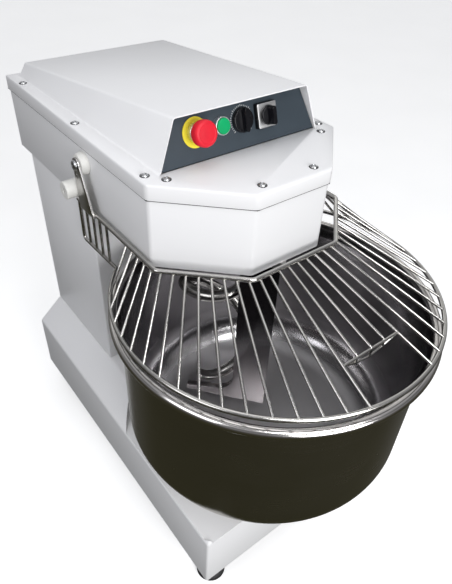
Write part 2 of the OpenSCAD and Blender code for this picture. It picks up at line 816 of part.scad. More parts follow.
// ---------- guard ----------
front_corner = [90, -38];                    // inner frame's front right corner, x, y
side_corner = [frame_hw, 67];                // where its slant meets the side
frame_end_y = 325;
first_wire_y = 155;
frame_path = [[-frame_hw, frame_end_y], [-frame_hw, side_corner[1]],
  [-front_corner[0], front_corner[1]], front_corner, side_corner, [frame_hw, frame_end_y]];
side_len = first_wire_y - side_corner[1];
slant_len = norm(side_corner - front_corner);
front_len = 2 * front_corner[0];
wired_len = 2 * side_len + 2 * slant_len + front_len;
ring_end_a = 135;                            // either way from the front
middle_wire = wire_n / 2;                    // it and its neighbours stop at the opening
opening_t = 0.7;                             // how far down they stop

// point at distance d along the frame, from where the first wire leaves it
function frame_point(d) =
  d < side_len ? [-frame_hw, first_wire_y - d]
  : d < side_len + slant_len
    ? lerp(frame_path[1], frame_path[2], (d - side_len) / slant_len)
  : d < side_len + slant_len + front_len
    ? [-front_corner[0] + d - side_len - slant_len, front_corner[1]]
  : let (mirrored = frame_point(wired_len - d)) [-mirrored[0], mirrored[1]];
function wire_start(i) =
  let (p = frame_point(wired_len * i / wire_n)) [p[0], p[1], frame_z - 2];
function wire_end(i) =
  let (a = -120 + 240 * i / wire_n) [ring_r * sin(a), -ring_r * cos(a), ring_z + 1.5];
function on_wire(i, t) = lerp(wire_start(i), wire_end(i), t);
// a shortened wire's end is turned down by this much
function wire_drop(i) = i == middle_wire ? 18 : 15;
function dropped_end(i) = on_wire(i, opening_t) - [0, 0, wire_drop(i)];

module guard_frame() {
  color(guard_steel) machine() {
    // rods stop just short of the corners, inside the upright bosses that join them
    for (i = [0:4]) {
      d = (frame_path[i + 1] - frame_path[i]) / norm(frame_path[i + 1] - frame_path[i]);
      a = frame_path[i] + (i == 0 ? -4 : 1.85) * d;
      b = frame_path[i + 1] + (i == 4 ? 4 : -1.85) * d;
      rod([a[0], a[1], frame_z], [b[0], b[1], frame_z], ring_rod);
    }
    for (i = [1:4])
      post(frame_path[i], frame_z - ring_rod - 0.3, frame_z + ring_rod + 0.3, ring_rod + 0.9);
    // rear ends turned down and joined to the ring
    for (x = [-frame_hw, frame_hw]) {
      rod([x, frame_end_y, frame_z], [x, frame_end_y, ring_z - 8], ring_rod - 0.5);
      rod([x, frame_end_y, ring_z - 4], [x, -ring_r * cos(ring_end_a) - 2, ring_z],
        ring_rod - 0.8);
      for (y = [300, 275, 250, 225]) rod([x, y, frame_z], [x, y, ring_z - 2], wire_r);
    }
  }
}
module guard_ring() {
  color(guard_steel) machine() translate([0, 0, ring_z]) rotate(-90 - ring_end_a)
    rotate_extrude(angle = 2 * ring_end_a, $fn = 128)
      translate([ring_r, 0]) circle(r = ring_rod);
}
module guard_wires() {
  shortened = [middle_wire - 1:middle_wire + 1];
  left = on_wire(middle_wire - 2, 0.725);
  right = on_wire(middle_wire + 2, 0.725);
  color([0.8, 0.81, 0.82]) machine() {
    for (i = [0:wire_n])
      rod(wire_start(i), abs(i - middle_wire) <= 1 ? on_wire(i, opening_t) : wire_end(i), wire_r);
    rod(left, right, wire_r);
    // second rod, bowed below the first, and the wire ends turned down to it
    bow = [lerp(left, right, 0.03) - [0, 0, 0.8], for (i = shortened) dropped_end(i),
      lerp(left, right, 0.97) - [0, 0, 0.8]];
    for (k = [0:3]) rod(bow[k], bow[k + 1], wire_r - 0.4);
    for (i = shortened) {
      low = dropped_end(i);
      post(low, low[2] - 2.6, low[2] + wire_drop(i), wire_r - 0.2);
    }
  }
}
module guard_brackets() {
  foot_z = frame_z - 4;
  color(zinc) machine() both_sides() difference() {
    translate([frame_hw + 3.5, 0, 0]) rotate([90, 0, 90]) linear_extrude(4) {
      translate(guard_pivot) circle(r = 12.5);
      polygon([guard_pivot - [12.5, 0], guard_pivot + [12.2, 0], [306.5, foot_z], [256, foot_z]]);
    }
    bar_x(frame_hw, guard_pivot, 20, 6.05);
    bar_x(frame_hw, guard_pivot - [1, 17], 20, 2.5);
  }
}
module guard_spacers() {
  spacer_l = frame_hw + 3.4 - head_hw;
  color(nylon) machine() both_sides() along_x(head_hw + 0.02, guard_pivot) difference() {
    rotate_extrude() polygon([[0, 0], [20, 0], [20, 5], [17, spacer_l], [0, spacer_l]]);
    disc(-1, 30, 6.1);
  }
}
module guard_pivot_bolts() {
  color(bolt_grey) machine() both_sides() along_x(0, guard_pivot) {
    disc(head_hw - 16, 34.4, 6);
    translate([0, 0, frame_hw + 7.8]) rotate_extrude()
      polygon([[0, 0], [9, 0], [9, 2.5], [7.5, 4.5], [0, 5.5]]);
    difference() {
      disc(head_hw - 12, 9.5, 10.5, $fn = 6);
      disc(head_hw - 20, 30, 5.98);
    }
  }
}
module guard_stops() {
  color(nylon) machine() both_sides() along_x(head_hw + 0.02, guard_stop) {
    difference() {
      rotate_extrude() polygon([[0, 0], [16.5, 0], [16.5, 34], [15, 36], [0, 36]]);
      disc(26, 20, 4.6);
    }
    disc(-14, 15, 4);
  }
}

// ---------- electrics and feet ----------
module electrical_box() {
  color([0.6, 0.62, 0.63]) machine() {
    difference() {
      block([-184, -124], [385, 515], [-190, 20]);
      block([-182, -122], [387, 513], [-188, 18]);
    }
    block([-123.9, -122], [384, 516], [-191, 21]);
    for (i = [0:2]) block([-181, -135], [395 + i * 38, 428 + i * 38], [-120, -40]);
  }
}
module mains_cable() {
  cable_r = 5;
  bend_r = 24;
  bend_y = col_rear + 16;
  bend_z = cable_at[1] - bend_r;
  color(tyre_black) machine() {
    // gland and its nut
    difference() {
      bar_y(cable_at, col_rear - 12, 24, 10);
      bar_y(cable_at, col_rear - 14, 30, 5.1);
    }
    difference() {
      bar_y(cable_at, col_rear + 2.2, 6, 14, $fn = 6);
      bar_y(cable_at, col_rear, 30, 9.9);
    }
    bar_y(cable_at, col_rear - 40, 56, cable_r);
    translate([cable_at[0], bend_y, bend_z]) rotate([90, 0, 90])
      rotate_extrude(angle = 90) translate([bend_r, 0]) circle(r = cable_r);
    post([cable_at[0], bend_y + bend_r], -540, bend_z + 0.01, cable_r);
  }
}
module front_feet() {
  color(rubber) machine() both_sides() {
    translate([foot_c[0], foot_c[1], floor_z]) rotate_extrude()
      polygon([[0, 0], [30, 0], [30, 8], [24, 14], [14, 18], [0, 18]]);
    post(foot_c, floor_z + 17, -470, 6);
    post(foot_c, -507, -493.1, 13, $fn = 6);
  }
}
module wheel() {
  translate(wheel_c) rotate([0, 90, 0]) rotate_extrude($fn = 64)
    polygon([[5.05, -15], [12, -15], [12, -11], [21, -11], [23, -15], [28, -15], [30, -12],
      [30, 12], [28, 15], [23, 15], [21, 11], [12, 11], [12, 15], [5.05, 15]]);
}
module left_wheel() { color(tyre_black) machine() mirror([1, 0, 0]) wheel(); }
module right_wheel() { color(tyre_black) machine() wheel(); }
module wheel_forks() {
  color(zinc) machine() both_sides() translate([wheel_c[0], wheel_c[1], 0]) {
    for (x = [-18, 18]) {
      block([x - 1.5, x + 1.5], [-16, 16], [wheel_c[2] + 4, base_z]);
      bar_x(x - 1.5, [0, wheel_c[2] + 4], 3, 16);
    }
    block([-30, 30], [-35, 35], [base_z - 1, -493.1]);
    bar_x(-24, [0, wheel_c[2]], 48, 5);
  }
}

base_shell();
welded_frame();
column_shell();
column_rear_cover();
rear_cover_screws();
head_body();
head_plate();
head_cover();
cover_screws();
control_panel();
estop_ring();
estop_collar();
estop_button();
start_bezel();
start_button();
contact_blocks();
timer_dial();
timer_body();
timer_knob();
selector_plate();
selector_body();
selector_knob();
breaker_bar();
breaker_flange();
breaker_bolts();
spiral_housing();
spiral_bearings();
spiral_seal();
spiral_shaft();
spiral_sprocket();
spiral_hook();
gearbox();
motor();
motor_fan_cover();
drive_shaft();
drive_sprockets();
countershaft();
countershaft_sprockets();
countershaft_bearings();
head_chains();
base_chain();
bowl_housing();
bowl_bearings();
bowl_shaft();
bowl_sprocket();
bowl_hub();
bowl_shell();
guard_frame();
guard_ring();
guard_wires();
guard_brackets();
guard_spacers();
guard_pivot_bolts();
guard_stops();
electrical_box();
mains_cable();
front_feet();
wheel_forks();
left_wheel();
right_wheel();
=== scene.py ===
import json
import math
import bpy
import bmesh
from mathutils import Vector, Matrix


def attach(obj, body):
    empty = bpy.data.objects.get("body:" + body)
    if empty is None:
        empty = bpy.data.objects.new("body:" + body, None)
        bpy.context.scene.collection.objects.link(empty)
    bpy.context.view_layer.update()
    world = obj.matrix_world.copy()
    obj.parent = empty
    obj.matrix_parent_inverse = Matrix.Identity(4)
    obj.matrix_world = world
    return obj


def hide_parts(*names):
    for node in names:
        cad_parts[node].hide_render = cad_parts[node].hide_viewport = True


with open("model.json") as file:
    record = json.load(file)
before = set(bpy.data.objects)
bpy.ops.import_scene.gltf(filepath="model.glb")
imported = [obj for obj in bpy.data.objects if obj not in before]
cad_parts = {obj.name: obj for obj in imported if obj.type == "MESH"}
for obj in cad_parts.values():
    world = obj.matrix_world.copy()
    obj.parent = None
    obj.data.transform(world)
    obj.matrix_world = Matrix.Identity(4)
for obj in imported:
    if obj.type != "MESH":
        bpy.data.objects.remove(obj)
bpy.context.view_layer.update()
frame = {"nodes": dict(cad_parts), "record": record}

YS, ZS = -172.5, 567.0
REC = frame["record"]
NODES = frame["nodes"]
BODY = {}
for b, ns in REC["behaviour"]["bodies"].items():
    for n in ns:
        BODY[n] = b
SLOT = {s["node"]: s["material_slot"] for s in REC["subparts"]}


def W(x, y, z):
    """millimetres from the bowl axis at the rim, to metres in the row frame"""
    return Vector((x / 1000.0, (y + YS) / 1000.0, (z + ZS) / 1000.0))


# ------------------------------------------------------------------ materials
def new_mat(name):
    m = bpy.data.materials.new(name)
    m.use_nodes = True
    nt = m.node_tree
    nt.nodes.clear()
    out = nt.nodes.new("ShaderNodeOutputMaterial")
    bs = nt.nodes.new("ShaderNodeBsdfPrincipled")
    nt.links.new(bs.outputs[0], out.inputs[0])
    return m, nt, bs


def coords(nt, scale=(1, 1, 1), kind="Object"):
    tc = nt.nodes.new("ShaderNodeTexCoord")
    mp = nt.nodes.new("ShaderNodeMapping")
    mp.inputs["Scale"].default_value = scale
    nt.links.new(tc.outputs[kind], mp.inputs[0])
    return mp.outputs[0]


def noise(nt, vec, scale, detail=3.0, rough=0.5):
    n = nt.nodes.new("ShaderNodeTexNoise")
    n.inputs["Scale"].default_value = scale
    n.inputs["Detail"].default_value = detail
    n.inputs["Roughness"].default_value = rough
    nt.links.new(vec, n.inputs["Vector"])
    return n.outputs["Fac"]


def ramp(nt, fac, a, b, lo=0.3, hi=0.7):
    r = nt.nodes.new("ShaderNodeValToRGB")
    r.color_ramp.elements[0].position = lo
    r.color_ramp.elements[1].position = hi
    r.color_ramp.elements[0].color = (*a, 1)
    r.color_ramp.elements[1].color = (*b, 1)
    nt.links.new(fac, r.inputs[0])
    return r.outputs[0]


def maprange(nt, fac, a, b):
    m = nt.nodes.new("ShaderNodeMapRange")
    m.inputs["To Min"].default_value = a
    m.inputs["To Max"].default_value = b
    nt.links.new(fac, m.inputs["Value"])
    return m.outputs[0]


def bump(nt, bs, height, dist, strength=1.0, prev=None):
    b = nt.nodes.new("ShaderNodeBump")
    b.inputs["Distance"].default_value = dist
    b.inputs["Strength"].default_value = strength
    nt.links.new(height, b.inputs["Height"])
    if prev is not None:
        nt.links.new(prev, b.inputs["Normal"])
    nt.links.new(b.outputs[0], bs.inputs["Normal"])
    return b.outputs[0]


def mixcol(nt, fac, a, b):
    m = nt.nodes.new("ShaderNodeMix")
    m.data_type = "RGBA"
    nt.links.new(fac, m.inputs[0])
    for sock, v in ((m.inputs[6], a), (m.inputs[7], b)):
        if isinstance(v, tuple):
            sock.default_value = (*v, 1)
        else:
            nt.links.new(v, sock)
    return m.outputs[2]


def powder(name, col, rough=0.42, peel=0.00004):
    """powder coat: orange peel, slight gloss change, and painted shade darkening the creases"""
    m, nt, bs = new_mat(name)
    v = coords(nt)
    big = noise(nt, v, 4.0, 2.0)
    base = ramp(nt, big, tuple(c * 0.975 for c in col), tuple(min(1, c * 1.01) for c in col))
    # painted shade: the colour darkens where ambient occlusion finds creases and recesses
    ao = nt.nodes.new("ShaderNodeAmbientOcclusion")
    ao.samples = 4
    ao.inputs["Distance"].default_value = 0.03
    crease_shade = maprange(nt, ao.outputs["AO"], 0.35, 0.0)
    crease_shade_col = tuple(c * k for c, k in zip(col, (0.62, 0.62, 0.58)))
    nt.links.new(mixcol(nt, crease_shade, base, crease_shade_col), bs.inputs["Base Color"])
    nt.links.new(maprange(nt, noise(nt, v, 35.0, 4.0), rough - 0.05, rough + 0.07), bs.inputs["Roughness"])
    bs.inputs["Coat Weight"].default_value = 0.15
    bs.inputs["Coat Roughness"].default_value = 0.25
    bump(nt, bs, noise(nt, v, 900.0, 2.0), peel)
    return m


def steel(name, col, rough=0.28, grain=(1, 1, 60), gs=60.0, aniso=0.0, depth=0.00002, tint=None, radial=False, painted_dark_top=None):
    """brushed or polished metal: fine grain along one direction, smears and light scratches"""
    m, nt, bs = new_mat(name)
    bs.inputs["Metallic"].default_value = 1.0
    v = coords(nt)
    if radial:
        # rings about the bowl's axis: the grain follows the distance from it and the height
        sep = nt.nodes.new("ShaderNodeSeparateXYZ")
        nt.links.new(v, sep.inputs[0])

        def mth(op, a, b=None, val=None):
            n = nt.nodes.new("ShaderNodeMath")
            n.operation = op
            nt.links.new(a, n.inputs[0])
            if b is not None:
                nt.links.new(b, n.inputs[1])
            if val is not None:
                n.inputs[1].default_value = val
            return n.outputs[0]

        yy = mth("ADD", sep.outputs[1], val=0.1725)
        rad = mth("SQRT", mth("ADD", mth("MULTIPLY", sep.outputs[0], sep.outputs[0]), mth("MULTIPLY", yy, yy)))
        comb = nt.nodes.new("ShaderNodeCombineXYZ")
        nt.links.new(rad, comb.inputs[0])
        nt.links.new(sep.outputs[2], comb.inputs[1])
        gvec = comb.outputs[0]
        g = noise(nt, gvec, 150.0, 2.0)
        g2 = noise(nt, gvec, 25.0, 2.0)
    else:
        gvec = coords(nt, grain)
        g = noise(nt, gvec, gs, 4.0, 0.6)
        g2 = noise(nt, gvec, gs * 0.25, 2.0)
    smear = noise(nt, v, 9.0, 5.0, 0.6)
    c2 = tint or tuple(c * 0.86 for c in col)
    face = mixcol(nt, maprange(nt, g2, 0.0, 1.0), col, c2)
    if painted_dark_top:
        # painted reflection: the colour darkens with height from z0 to z1, standing in for the dark surroundings the
        # upper part reflects
        z0, z1, dark = painted_dark_top
        sz = nt.nodes.new("ShaderNodeSeparateXYZ")
        nt.links.new(v, sz.inputs[0])
        up_ = nt.nodes.new("ShaderNodeMapRange")
        up_.inputs["From Min"].default_value = z0
        up_.inputs["From Max"].default_value = z1
        nt.links.new(sz.outputs[2], up_.inputs["Value"])
        face = mixcol(nt, up_.outputs[0], face, dark)
    nt.links.new(face, bs.inputs["Base Color"])
    add = nt.nodes.new("ShaderNodeMath")
    add.operation = "ADD"
    nt.links.new(maprange(nt, g, rough - (0.015 if radial else 0.04), rough + (0.015 if radial else 0.04)), add.inputs[0])
    nt.links.new(maprange(nt, smear, -0.02, 0.03) if radial else maprange(nt, smear, -0.04, 0.05), add.inputs[1])
    worn = add.outputs[0]
    if radial and painted_dark_top:
        # the flat floor is scoured by the dough and rougher than the wall
        sf = nt.nodes.new("ShaderNodeSeparateXYZ")
        nt.links.new(v, sf.inputs[0])
        fl = nt.nodes.new("ShaderNodeMapRange")
        fl.inputs["From Min"].default_value = 0.238
        fl.inputs["From Max"].default_value = 0.256
        fl.inputs["To Min"].default_value = 0.26
        fl.inputs["To Max"].default_value = 0.0
        nt.links.new(sf.outputs[2], fl.inputs["Value"])
        ad2 = nt.nodes.new("ShaderNodeMath")
        ad2.operation = "ADD"
        nt.links.new(worn, ad2.inputs[0])
        nt.links.new(fl.outputs[0], ad2.inputs[1])
        worn = ad2.outputs[0]
    nt.links.new(worn, bs.inputs["Roughness"])
    bs.inputs["Anisotropic"].default_value = aniso
    if not radial and not painted_dark_top:
        bump(nt, bs, g, depth * 0.2, 0.25)
    return m


def plastic(name, col, rough=0.35, coat=0.0, tex=0.00002, scale=700.0, var=0.08, spec=0.5):
    m, nt, bs = new_mat(name)
    bs.inputs["Specular IOR Level"].default_value = spec
    v = coords(nt)
    nt.links.new(ramp(nt, noise(nt, v, 30.0, 3.0), tuple(c * (1 - var) for c in col), tuple(min(1, c * (1 + var)) for c in col)), bs.inputs["Base Color"])
    nt.links.new(maprange(nt, noise(nt, v, 120.0, 4.0), rough - 0.05, rough + 0.08), bs.inputs["Roughness"])
    bs.inputs["Coat Weight"].default_value = coat
    bs.inputs["Coat Roughness"].default_value = 0.08
    bump(nt, bs, noise(nt, v, scale, 2.0), tex)
    return m


M = {
    "white_paint": powder("mx_white_powder", (0.86, 0.86, 0.87), 0.40),
    "grey_primer": powder("mx_primer", (0.10, 0.105, 0.115), 0.6),
    "mild_steel": steel("mx_milled", (0.42, 0.43, 0.45), 0.38, (60, 1, 1)),
    "zinc_steel": steel("mx_zinc", (0.50, 0.51, 0.52), 0.28, (1, 1, 1), 60.0),
    "panel_grey": plastic("mx_panel", (0.042, 0.056, 0.070), 0.55, 0.0, 0.00002, 1500.0, 0.05, 0.2),
    "yellow": plastic("mx_yellow", (0.88, 0.76, 0.05), 0.45, 0.0, spec=0.25),
    "silver": steel("mx_silver", (0.88, 0.88, 0.89), 0.34, (1, 1, 1), 30.0),
    "red_gloss": plastic("mx_red", (0.70, 0.012, 0.030), 0.45, 0.0, spec=0.25),
    "green_gloss": plastic("mx_green", (0.0, 0.36, 0.12), 0.45, 0.0, spec=0.2),
    "black_plastic": plastic("mx_black", (0.006, 0.006, 0.008), 0.24, 0.0, spec=0.3),
    "white_print": plastic("mx_print", (0.85, 0.86, 0.86), 0.5),
    "stainless": steel("mx_brushed", (0.56, 0.55, 0.54), 0.27, (1, 1, 0.04), 260.0, 0.3),
    "bright_wire": steel("mx_bright", (0.52, 0.51, 0.49), 0.2, (1, 1, 1), 220.0),
    "cast_blue": powder("mx_enamel", (0.07, 0.10, 0.14), 0.45, 0.00012),
    "bearing_steel": steel("mx_bearing", (0.72, 0.73, 0.75), 0.18, (1, 1, 1), 400.0),
    "ground_steel": steel("mx_ground", (0.66, 0.67, 0.69), 0.2, (1, 1, 30), 120.0),
    "dark_steel": steel("mx_oiled", (0.16, 0.16, 0.165), 0.35, (1, 1, 1), 200.0),
    "nylon": plastic("mx_nylon", (0.78, 0.775, 0.74), 0.45, 0.0, 0.00003, 400.0, 0.03),
    "black_rubber": plastic("mx_rubber", (0.018, 0.018, 0.02), 0.62, 0.0, 0.00008, 500.0),
    "wheel_rubber": plastic("mx_wheel", (0.03, 0.03, 0.033), 0.55, 0.0, 0.00006, 400.0),
}
# the outer wall is coloured darker and browner than the inner wall: painted reflection of the dark surroundings, on
# the same stainless sheet
BOWL_OUT = steel("mx_bowl_out", (0.47, 0.45, 0.41), 0.26, radial=True, tint=(0.44, 0.42, 0.375))
# the wall's colour darkens towards the rim: painted reflection of the dark surroundings
BOWL_IN = steel("mx_bowl_in", (0.62, 0.61, 0.62), 0.2, radial=True, tint=(0.58, 0.57, 0.58), painted_dark_top=(0.272, 0.325, (0.24, 0.232, 0.24)))
BEAD = steel("mx_bead", (0.66, 0.64, 0.62), 0.16, radial=True, tint=(0.60, 0.58, 0.56))
# the blade's colour darkens towards its top: painted reflection of the dark surroundings
BREAKER_STEEL = steel("mx_breaker", (0.62, 0.58, 0.59), 0.22, (1, 1, 0.04), 300.0, painted_dark_top=(0.30, 0.47, (0.13, 0.125, 0.13)))
# black used as painted shadow: the hairline under the lid's lip and the rings round the cover screws
PAINTED_SHADOW = plastic("mx_painted_shadow", (0.02, 0.02, 0.022), 0.7)


# ------------------------------------------------------------------ mesh tools
def finish_obj(name, bm, mat, body, replaces=(), smooth=40.0):
    bmesh.ops.remove_doubles(bm, verts=bm.verts, dist=1e-6)
    bmesh.ops.recalc_face_normals(bm, faces=bm.faces)
    me = bpy.data.meshes.new(name)
    bm.to_mesh(me)
    bm.free()
    ob = bpy.data.objects.new(name, me)
    bpy.context.scene.collection.objects.link(ob)
    for mm in (mat if isinstance(mat, (list, tuple)) else [mat]):
        me.materials.append(mm)
    for p in me.polygons:
        p.use_smooth = True
    if smooth is not None:
        me.set_sharp_from_angle(angle=math.radians(smooth))
    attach(ob, body)
    if replaces:
        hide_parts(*replaces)
    return ob


def apply_mods(ob):
    bpy.context.view_layer.update()
    dg = bpy.context.evaluated_depsgraph_get()
    me = bpy.data.meshes.new_from_object(ob.evaluated_get(dg), depsgraph=dg)
    old = ob.data
    ob.modifiers.clear()
    ob.data = me
    me.name = old.name
    bpy.data.meshes.remove(old)
    return ob


def sheet(name, verts, faces, folds, mat, body, replaces, thick=2.0, inward=True, edge=0.35, seg=4):
    """folded sheet metal: a single skin with rounded folds, given its thickness, with eased cut edges.
    folds maps a pair of vertex numbers to the fold's radius in mm"""
    bm = bmesh.new()
    vs = [bm.verts.new(W(*v)) for v in verts]
    bm.verts.ensure_lookup_table()
    for f in faces:
        bm.faces.new([vs[i] for i in f])
    bmesh.ops.recalc_face_normals(bm, faces=bm.faces)
    lay = bm.edges.layers.float.new("bevel_weight_edge")
    top = max(folds.values()) if folds else 1
    for (a, b), r in folds.items():
        e = bm.edges.get((vs[a], vs[b]))
        if e is None:
            raise ValueError("%s has no edge %s-%s" % (name, a, b))
        e[lay] = r / top
    me = bpy.data.meshes.new(name)
    bm.to_mesh(me)
    bm.free()
    ob = bpy.data.objects.new(name, me)
    bpy.context.scene.collection.objects.link(ob)
    me.materials.append(mat)
    if folds:
        b = ob.modifiers.new("fold", "BEVEL")
        b.limit_method = "WEIGHT"
        b.width = top / 1000.0
        b.segments = seg
        b.use_clamp_overlap = False
    s = ob.modifiers.new("thick", "SOLIDIFY")
    s.thickness = thick / 1000.0
    s.offset = -1.0
    s.use_even_offset = True
    s.use_quality_normals = True
    if edge:
        e = ob.modifiers.new("ease", "BEVEL")
        e.limit_method = "ANGLE"
        e.angle_limit = math.radians(50)
        e.width = edge / 1000.0
        e.segments = 2
    apply_mods(ob)
    for p in ob.data.polygons:
        p.use_smooth = True
    ob.data.set_sharp_from_angle(angle=math.radians(38))
    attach(ob, body)
    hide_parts(*replaces)
    return ob


def add_tube(bm, pts, r, n=16, closed=False, caps=True, rfun=None):
    """sweep a circle along points, with rounded ends"""
    P = [Vector(p) for p in pts]
    m = len(P)
    T = []
    for i in range(m):
        if closed:
            d = P[(i + 1) % m] - P[i - 1]
        else:
            d = P[min(m - 1, i + 1)] - P[max(0, i - 1)]
        T.append(d.normalized())
    ref = Vector((0, 0, 1)) if abs(T[0].z) < 0.9 else Vector((1, 0, 0))
    N = [(ref - T[0] * ref.dot(T[0])).normalized()]
    for i in range(1, m):
        q = T[i - 1].rotation_difference(T[i])
        v = q @ N[-1]
        N.append((v - T[i] * v.dot(T[i])).normalized())
    rings = []

    def ring(c, t, nn, rad):
        b = t.cross(nn)
        return [bm.verts.new(c + (nn * math.cos(2 * math.pi * j / n) + b * math.sin(2 * math.pi * j / n)) * rad) for j in range(n)]

    if not closed and caps:
        for k in (0.25, 0.6, 0.88):
            rad = r * math.sqrt(1 - (1 - k) ** 2)
            rings.append(ring(P[0] - T[0] * r * 0.5 * (1 - k), T[0], N[0], rad * (rfun(0) if rfun else 1)))
    for i in range(m):
        rings.append(ring(P[i], T[i], N[i], r * (rfun(i / (m - 1)) if rfun else 1)))
    if not closed and caps:
        for k in (0.88, 0.6, 0.25):
            rad = r * math.sqrt(1 - (1 - k) ** 2)
            rings.append(ring(P[-1] + T[-1] * r * 0.5 * (1 - k), T[-1], N[-1], rad * (rfun(1) if rfun else 1)))
    for a in range(len(rings) - (0 if closed else 1)):
        A, B = rings[a], rings[(a + 1) % len(rings)]
        for j in range(n):
            bm.faces.new([A[j], A[(j + 1) % n], B[(j + 1) % n], B[j]])
    if not closed:
        bm.faces.new(list(reversed(rings[0])))
        bm.faces.new(rings[-1])


def bend(pts, R, n=8):
    """path in mm with each inner corner turned to radius R"""
    P = [Vector(p) for p in pts]
    out = [P[0]]
    for i in range(1, len(P) - 1):
        a, b = (P[i - 1] - P[i]), (P[i + 1] - P[i])
        la, lb = a.length, b.length
        a.normalize()
        b.normalize()
        half = math.acos(max(-1, min(1, a.dot(b)))) / 2
        t = min(R / math.tan(half), la * 0.49, lb * 0.49)
        rr = t * math.tan(half)
        c = P[i] + (a + b).normalized() * (rr / math.sin(half))
        s, e = P[i] + a * t - c, P[i] + b * t - c
        ang = s.angle(e)
        ax = s.cross(e).normalized()
        for k in range(n + 1):
            out.append(c + Matrix.Rotation(ang * k / n, 3, ax) @ s)
    out.append(P[-1])
    return out


def wpts(pts):
    return [W(*p) for p in pts]


def lathe(name, prof, mat, body, replaces, origin, axis, n=96, closed=False, smooth=35.0, mats=None):
    """turn a profile (radius, height) in mm about an axis at origin (world metres)"""
    bm = bmesh.new()
    z = Vector(axis).normalized()
    x = z.orthogonal().normalized()
    y = z.cross(x)
    rings = []
    for (r, h) in prof:
        if r < 1e-6:
            rings.append([bm.verts.new(Vector(origin) + z * h / 1000.0)])
        else:
            rings.append([bm.verts.new(Vector(origin) + (x * math.cos(2 * math.pi * j / n) + y * math.sin(2 * math.pi * j / n)) * r / 1000.0 + z * h / 1000.0) for j in range(n)])
    k = len(rings)
    for a in range(k if closed else k - 1):
        A, B = rings[a], rings[(a + 1) % k]
        mi = mats[a] if mats else 0
        for j in range(n):
            j2 = (j + 1) % n
            if len(A) == 1 and len(B) == 1:
                break
            if len(A) == 1:
                f = bm.faces.new([A[0], B[j2], B[j]])
            elif len(B) == 1:
                f = bm.faces.new([A[j], A[j2], B[0]])
            else:
                f = bm.faces.new([A[j], A[j2], B[j2], B[j]])
            f.material_index = mi
    return finish_obj(name, bm, mat, body, replaces, smooth)


def rounded(prof, r, n=4):
    """ease the corners of an open profile in (radius, height)"""
    out = [prof[0]]
    for i in range(1, len(prof) - 1):
        p, a, b = Vector(prof[i]), Vector(prof[i - 1]), Vector(prof[i + 1])
        da, db = a - p, b - p
        t = min(r, da.length * 0.45, db.length * 0.45)
        s, e = p + da.normalized() * t, p + db.normalized() * t
        for k in range(n + 1):
            u = k / n
            q = s * (1 - u) ** 2 + p * 2 * u * (1 - u) + e * u ** 2
            out.append((q.x, q.y))
    out.append(prof[-1])
    return out


def plate(name, outline, h0, h1, mat, body, replaces, to_world, ease=0.6, holes=(), seg=3, smooth=35.0):
    """flat plate from an outline (u, v) between heights h0 and h1, with eased edges"""
    bm = bmesh.new()
    vs = [bm.verts.new(to_world(u, v, h0)) for u, v in outline]
    loops = [vs]
    for (cu, cv, r) in holes:
        loops.append([bm.verts.new(to_world(cu + r * math.cos(2 * math.pi * k / 32), cv + r * math.sin(2 * math.pi * k / 32), h0)) for k in range(32)])
    es = []
    for lp in loops:
        for i in range(len(lp)):
            es.append(bm.edges.new((lp[i], lp[(i + 1) % len(lp)])))
    if holes:
        bmesh.ops.triangle_fill(bm, edges=es, use_beauty=True, use_dissolve=True)
    else:
        bm.faces.new(vs)
    ext = bmesh.ops.extrude_face_region(bm, geom=list(bm.faces))
    d = to_world(0, 0, h1) - to_world(0, 0, h0)
    bmesh.ops.translate(bm, verts=[g for g in ext["geom"] if isinstance(g, bmesh.types.BMVert)], vec=d)
    bmesh.ops.recalc_face_normals(bm, faces=bm.faces)
    me = bpy.data.meshes.new(name)
    bm.to_mesh(me)
    bm.free()
    ob = bpy.data.objects.new(name, me)
    bpy.context.scene.collection.objects.link(ob)
    me.materials.append(mat)
    if ease:
        b = ob.modifiers.new("ease", "BEVEL")
        b.limit_method = "ANGLE"
        b.angle_limit = math.radians(40)
        b.width = ease / 1000.0
        b.segments = seg
        apply_mods(ob)
    for p in ob.data.polygons:
        p.use_smooth = True
    ob.data.set_sharp_from_angle(angle=math.radians(smooth))
    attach(ob, body)
    if replaces:
        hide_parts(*replaces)
    return ob


def arc_outline(pts, n=6):
    """outline from (u, v, radius) corners"""
    out = []
    m = len(pts)
    for i in range(m):
        p = Vector(pts[i][:2])
        r = pts[i][2]
        a, b = Vector(pts[i - 1][:2]) - p, Vector(pts[(i + 1) % m][:2]) - p
        if r <= 0:
            out.append((p.x, p.y))
            continue
        half = a.angle(b) / 2
        t = min(r / math.tan(half), a.length * 0.48, b.length * 0.48)
        s, e = p + a.normalized() * t, p + b.normalized() * t
        for k in range(n + 1):
            u = k / n
            q = s * (1 - u) ** 2 + p * 2 * u * (1 - u) + e * u ** 2
            out.append((q.x, q.y))
    return out


# ------------------------------------------------------------------ head
HW, FW, FR, CY, RE = 190.0, 73.0, -14.0, 97.0, 632.0
FI = math.atan2(CY - FR, HW - FW)


def head_pts(o):
    a = (FW + o * math.tan(FI / 2), FR - o)
    b = (HW + o, CY - o * math.tan((math.pi / 2 - FI) / 2))
    c = (HW + o, RE + o)
    return [a, b, c, (-c[0], c[1]), (-b[0], b[1]), (-a[0], a[1])]


Z0, Z1 = 99.0, 245.0
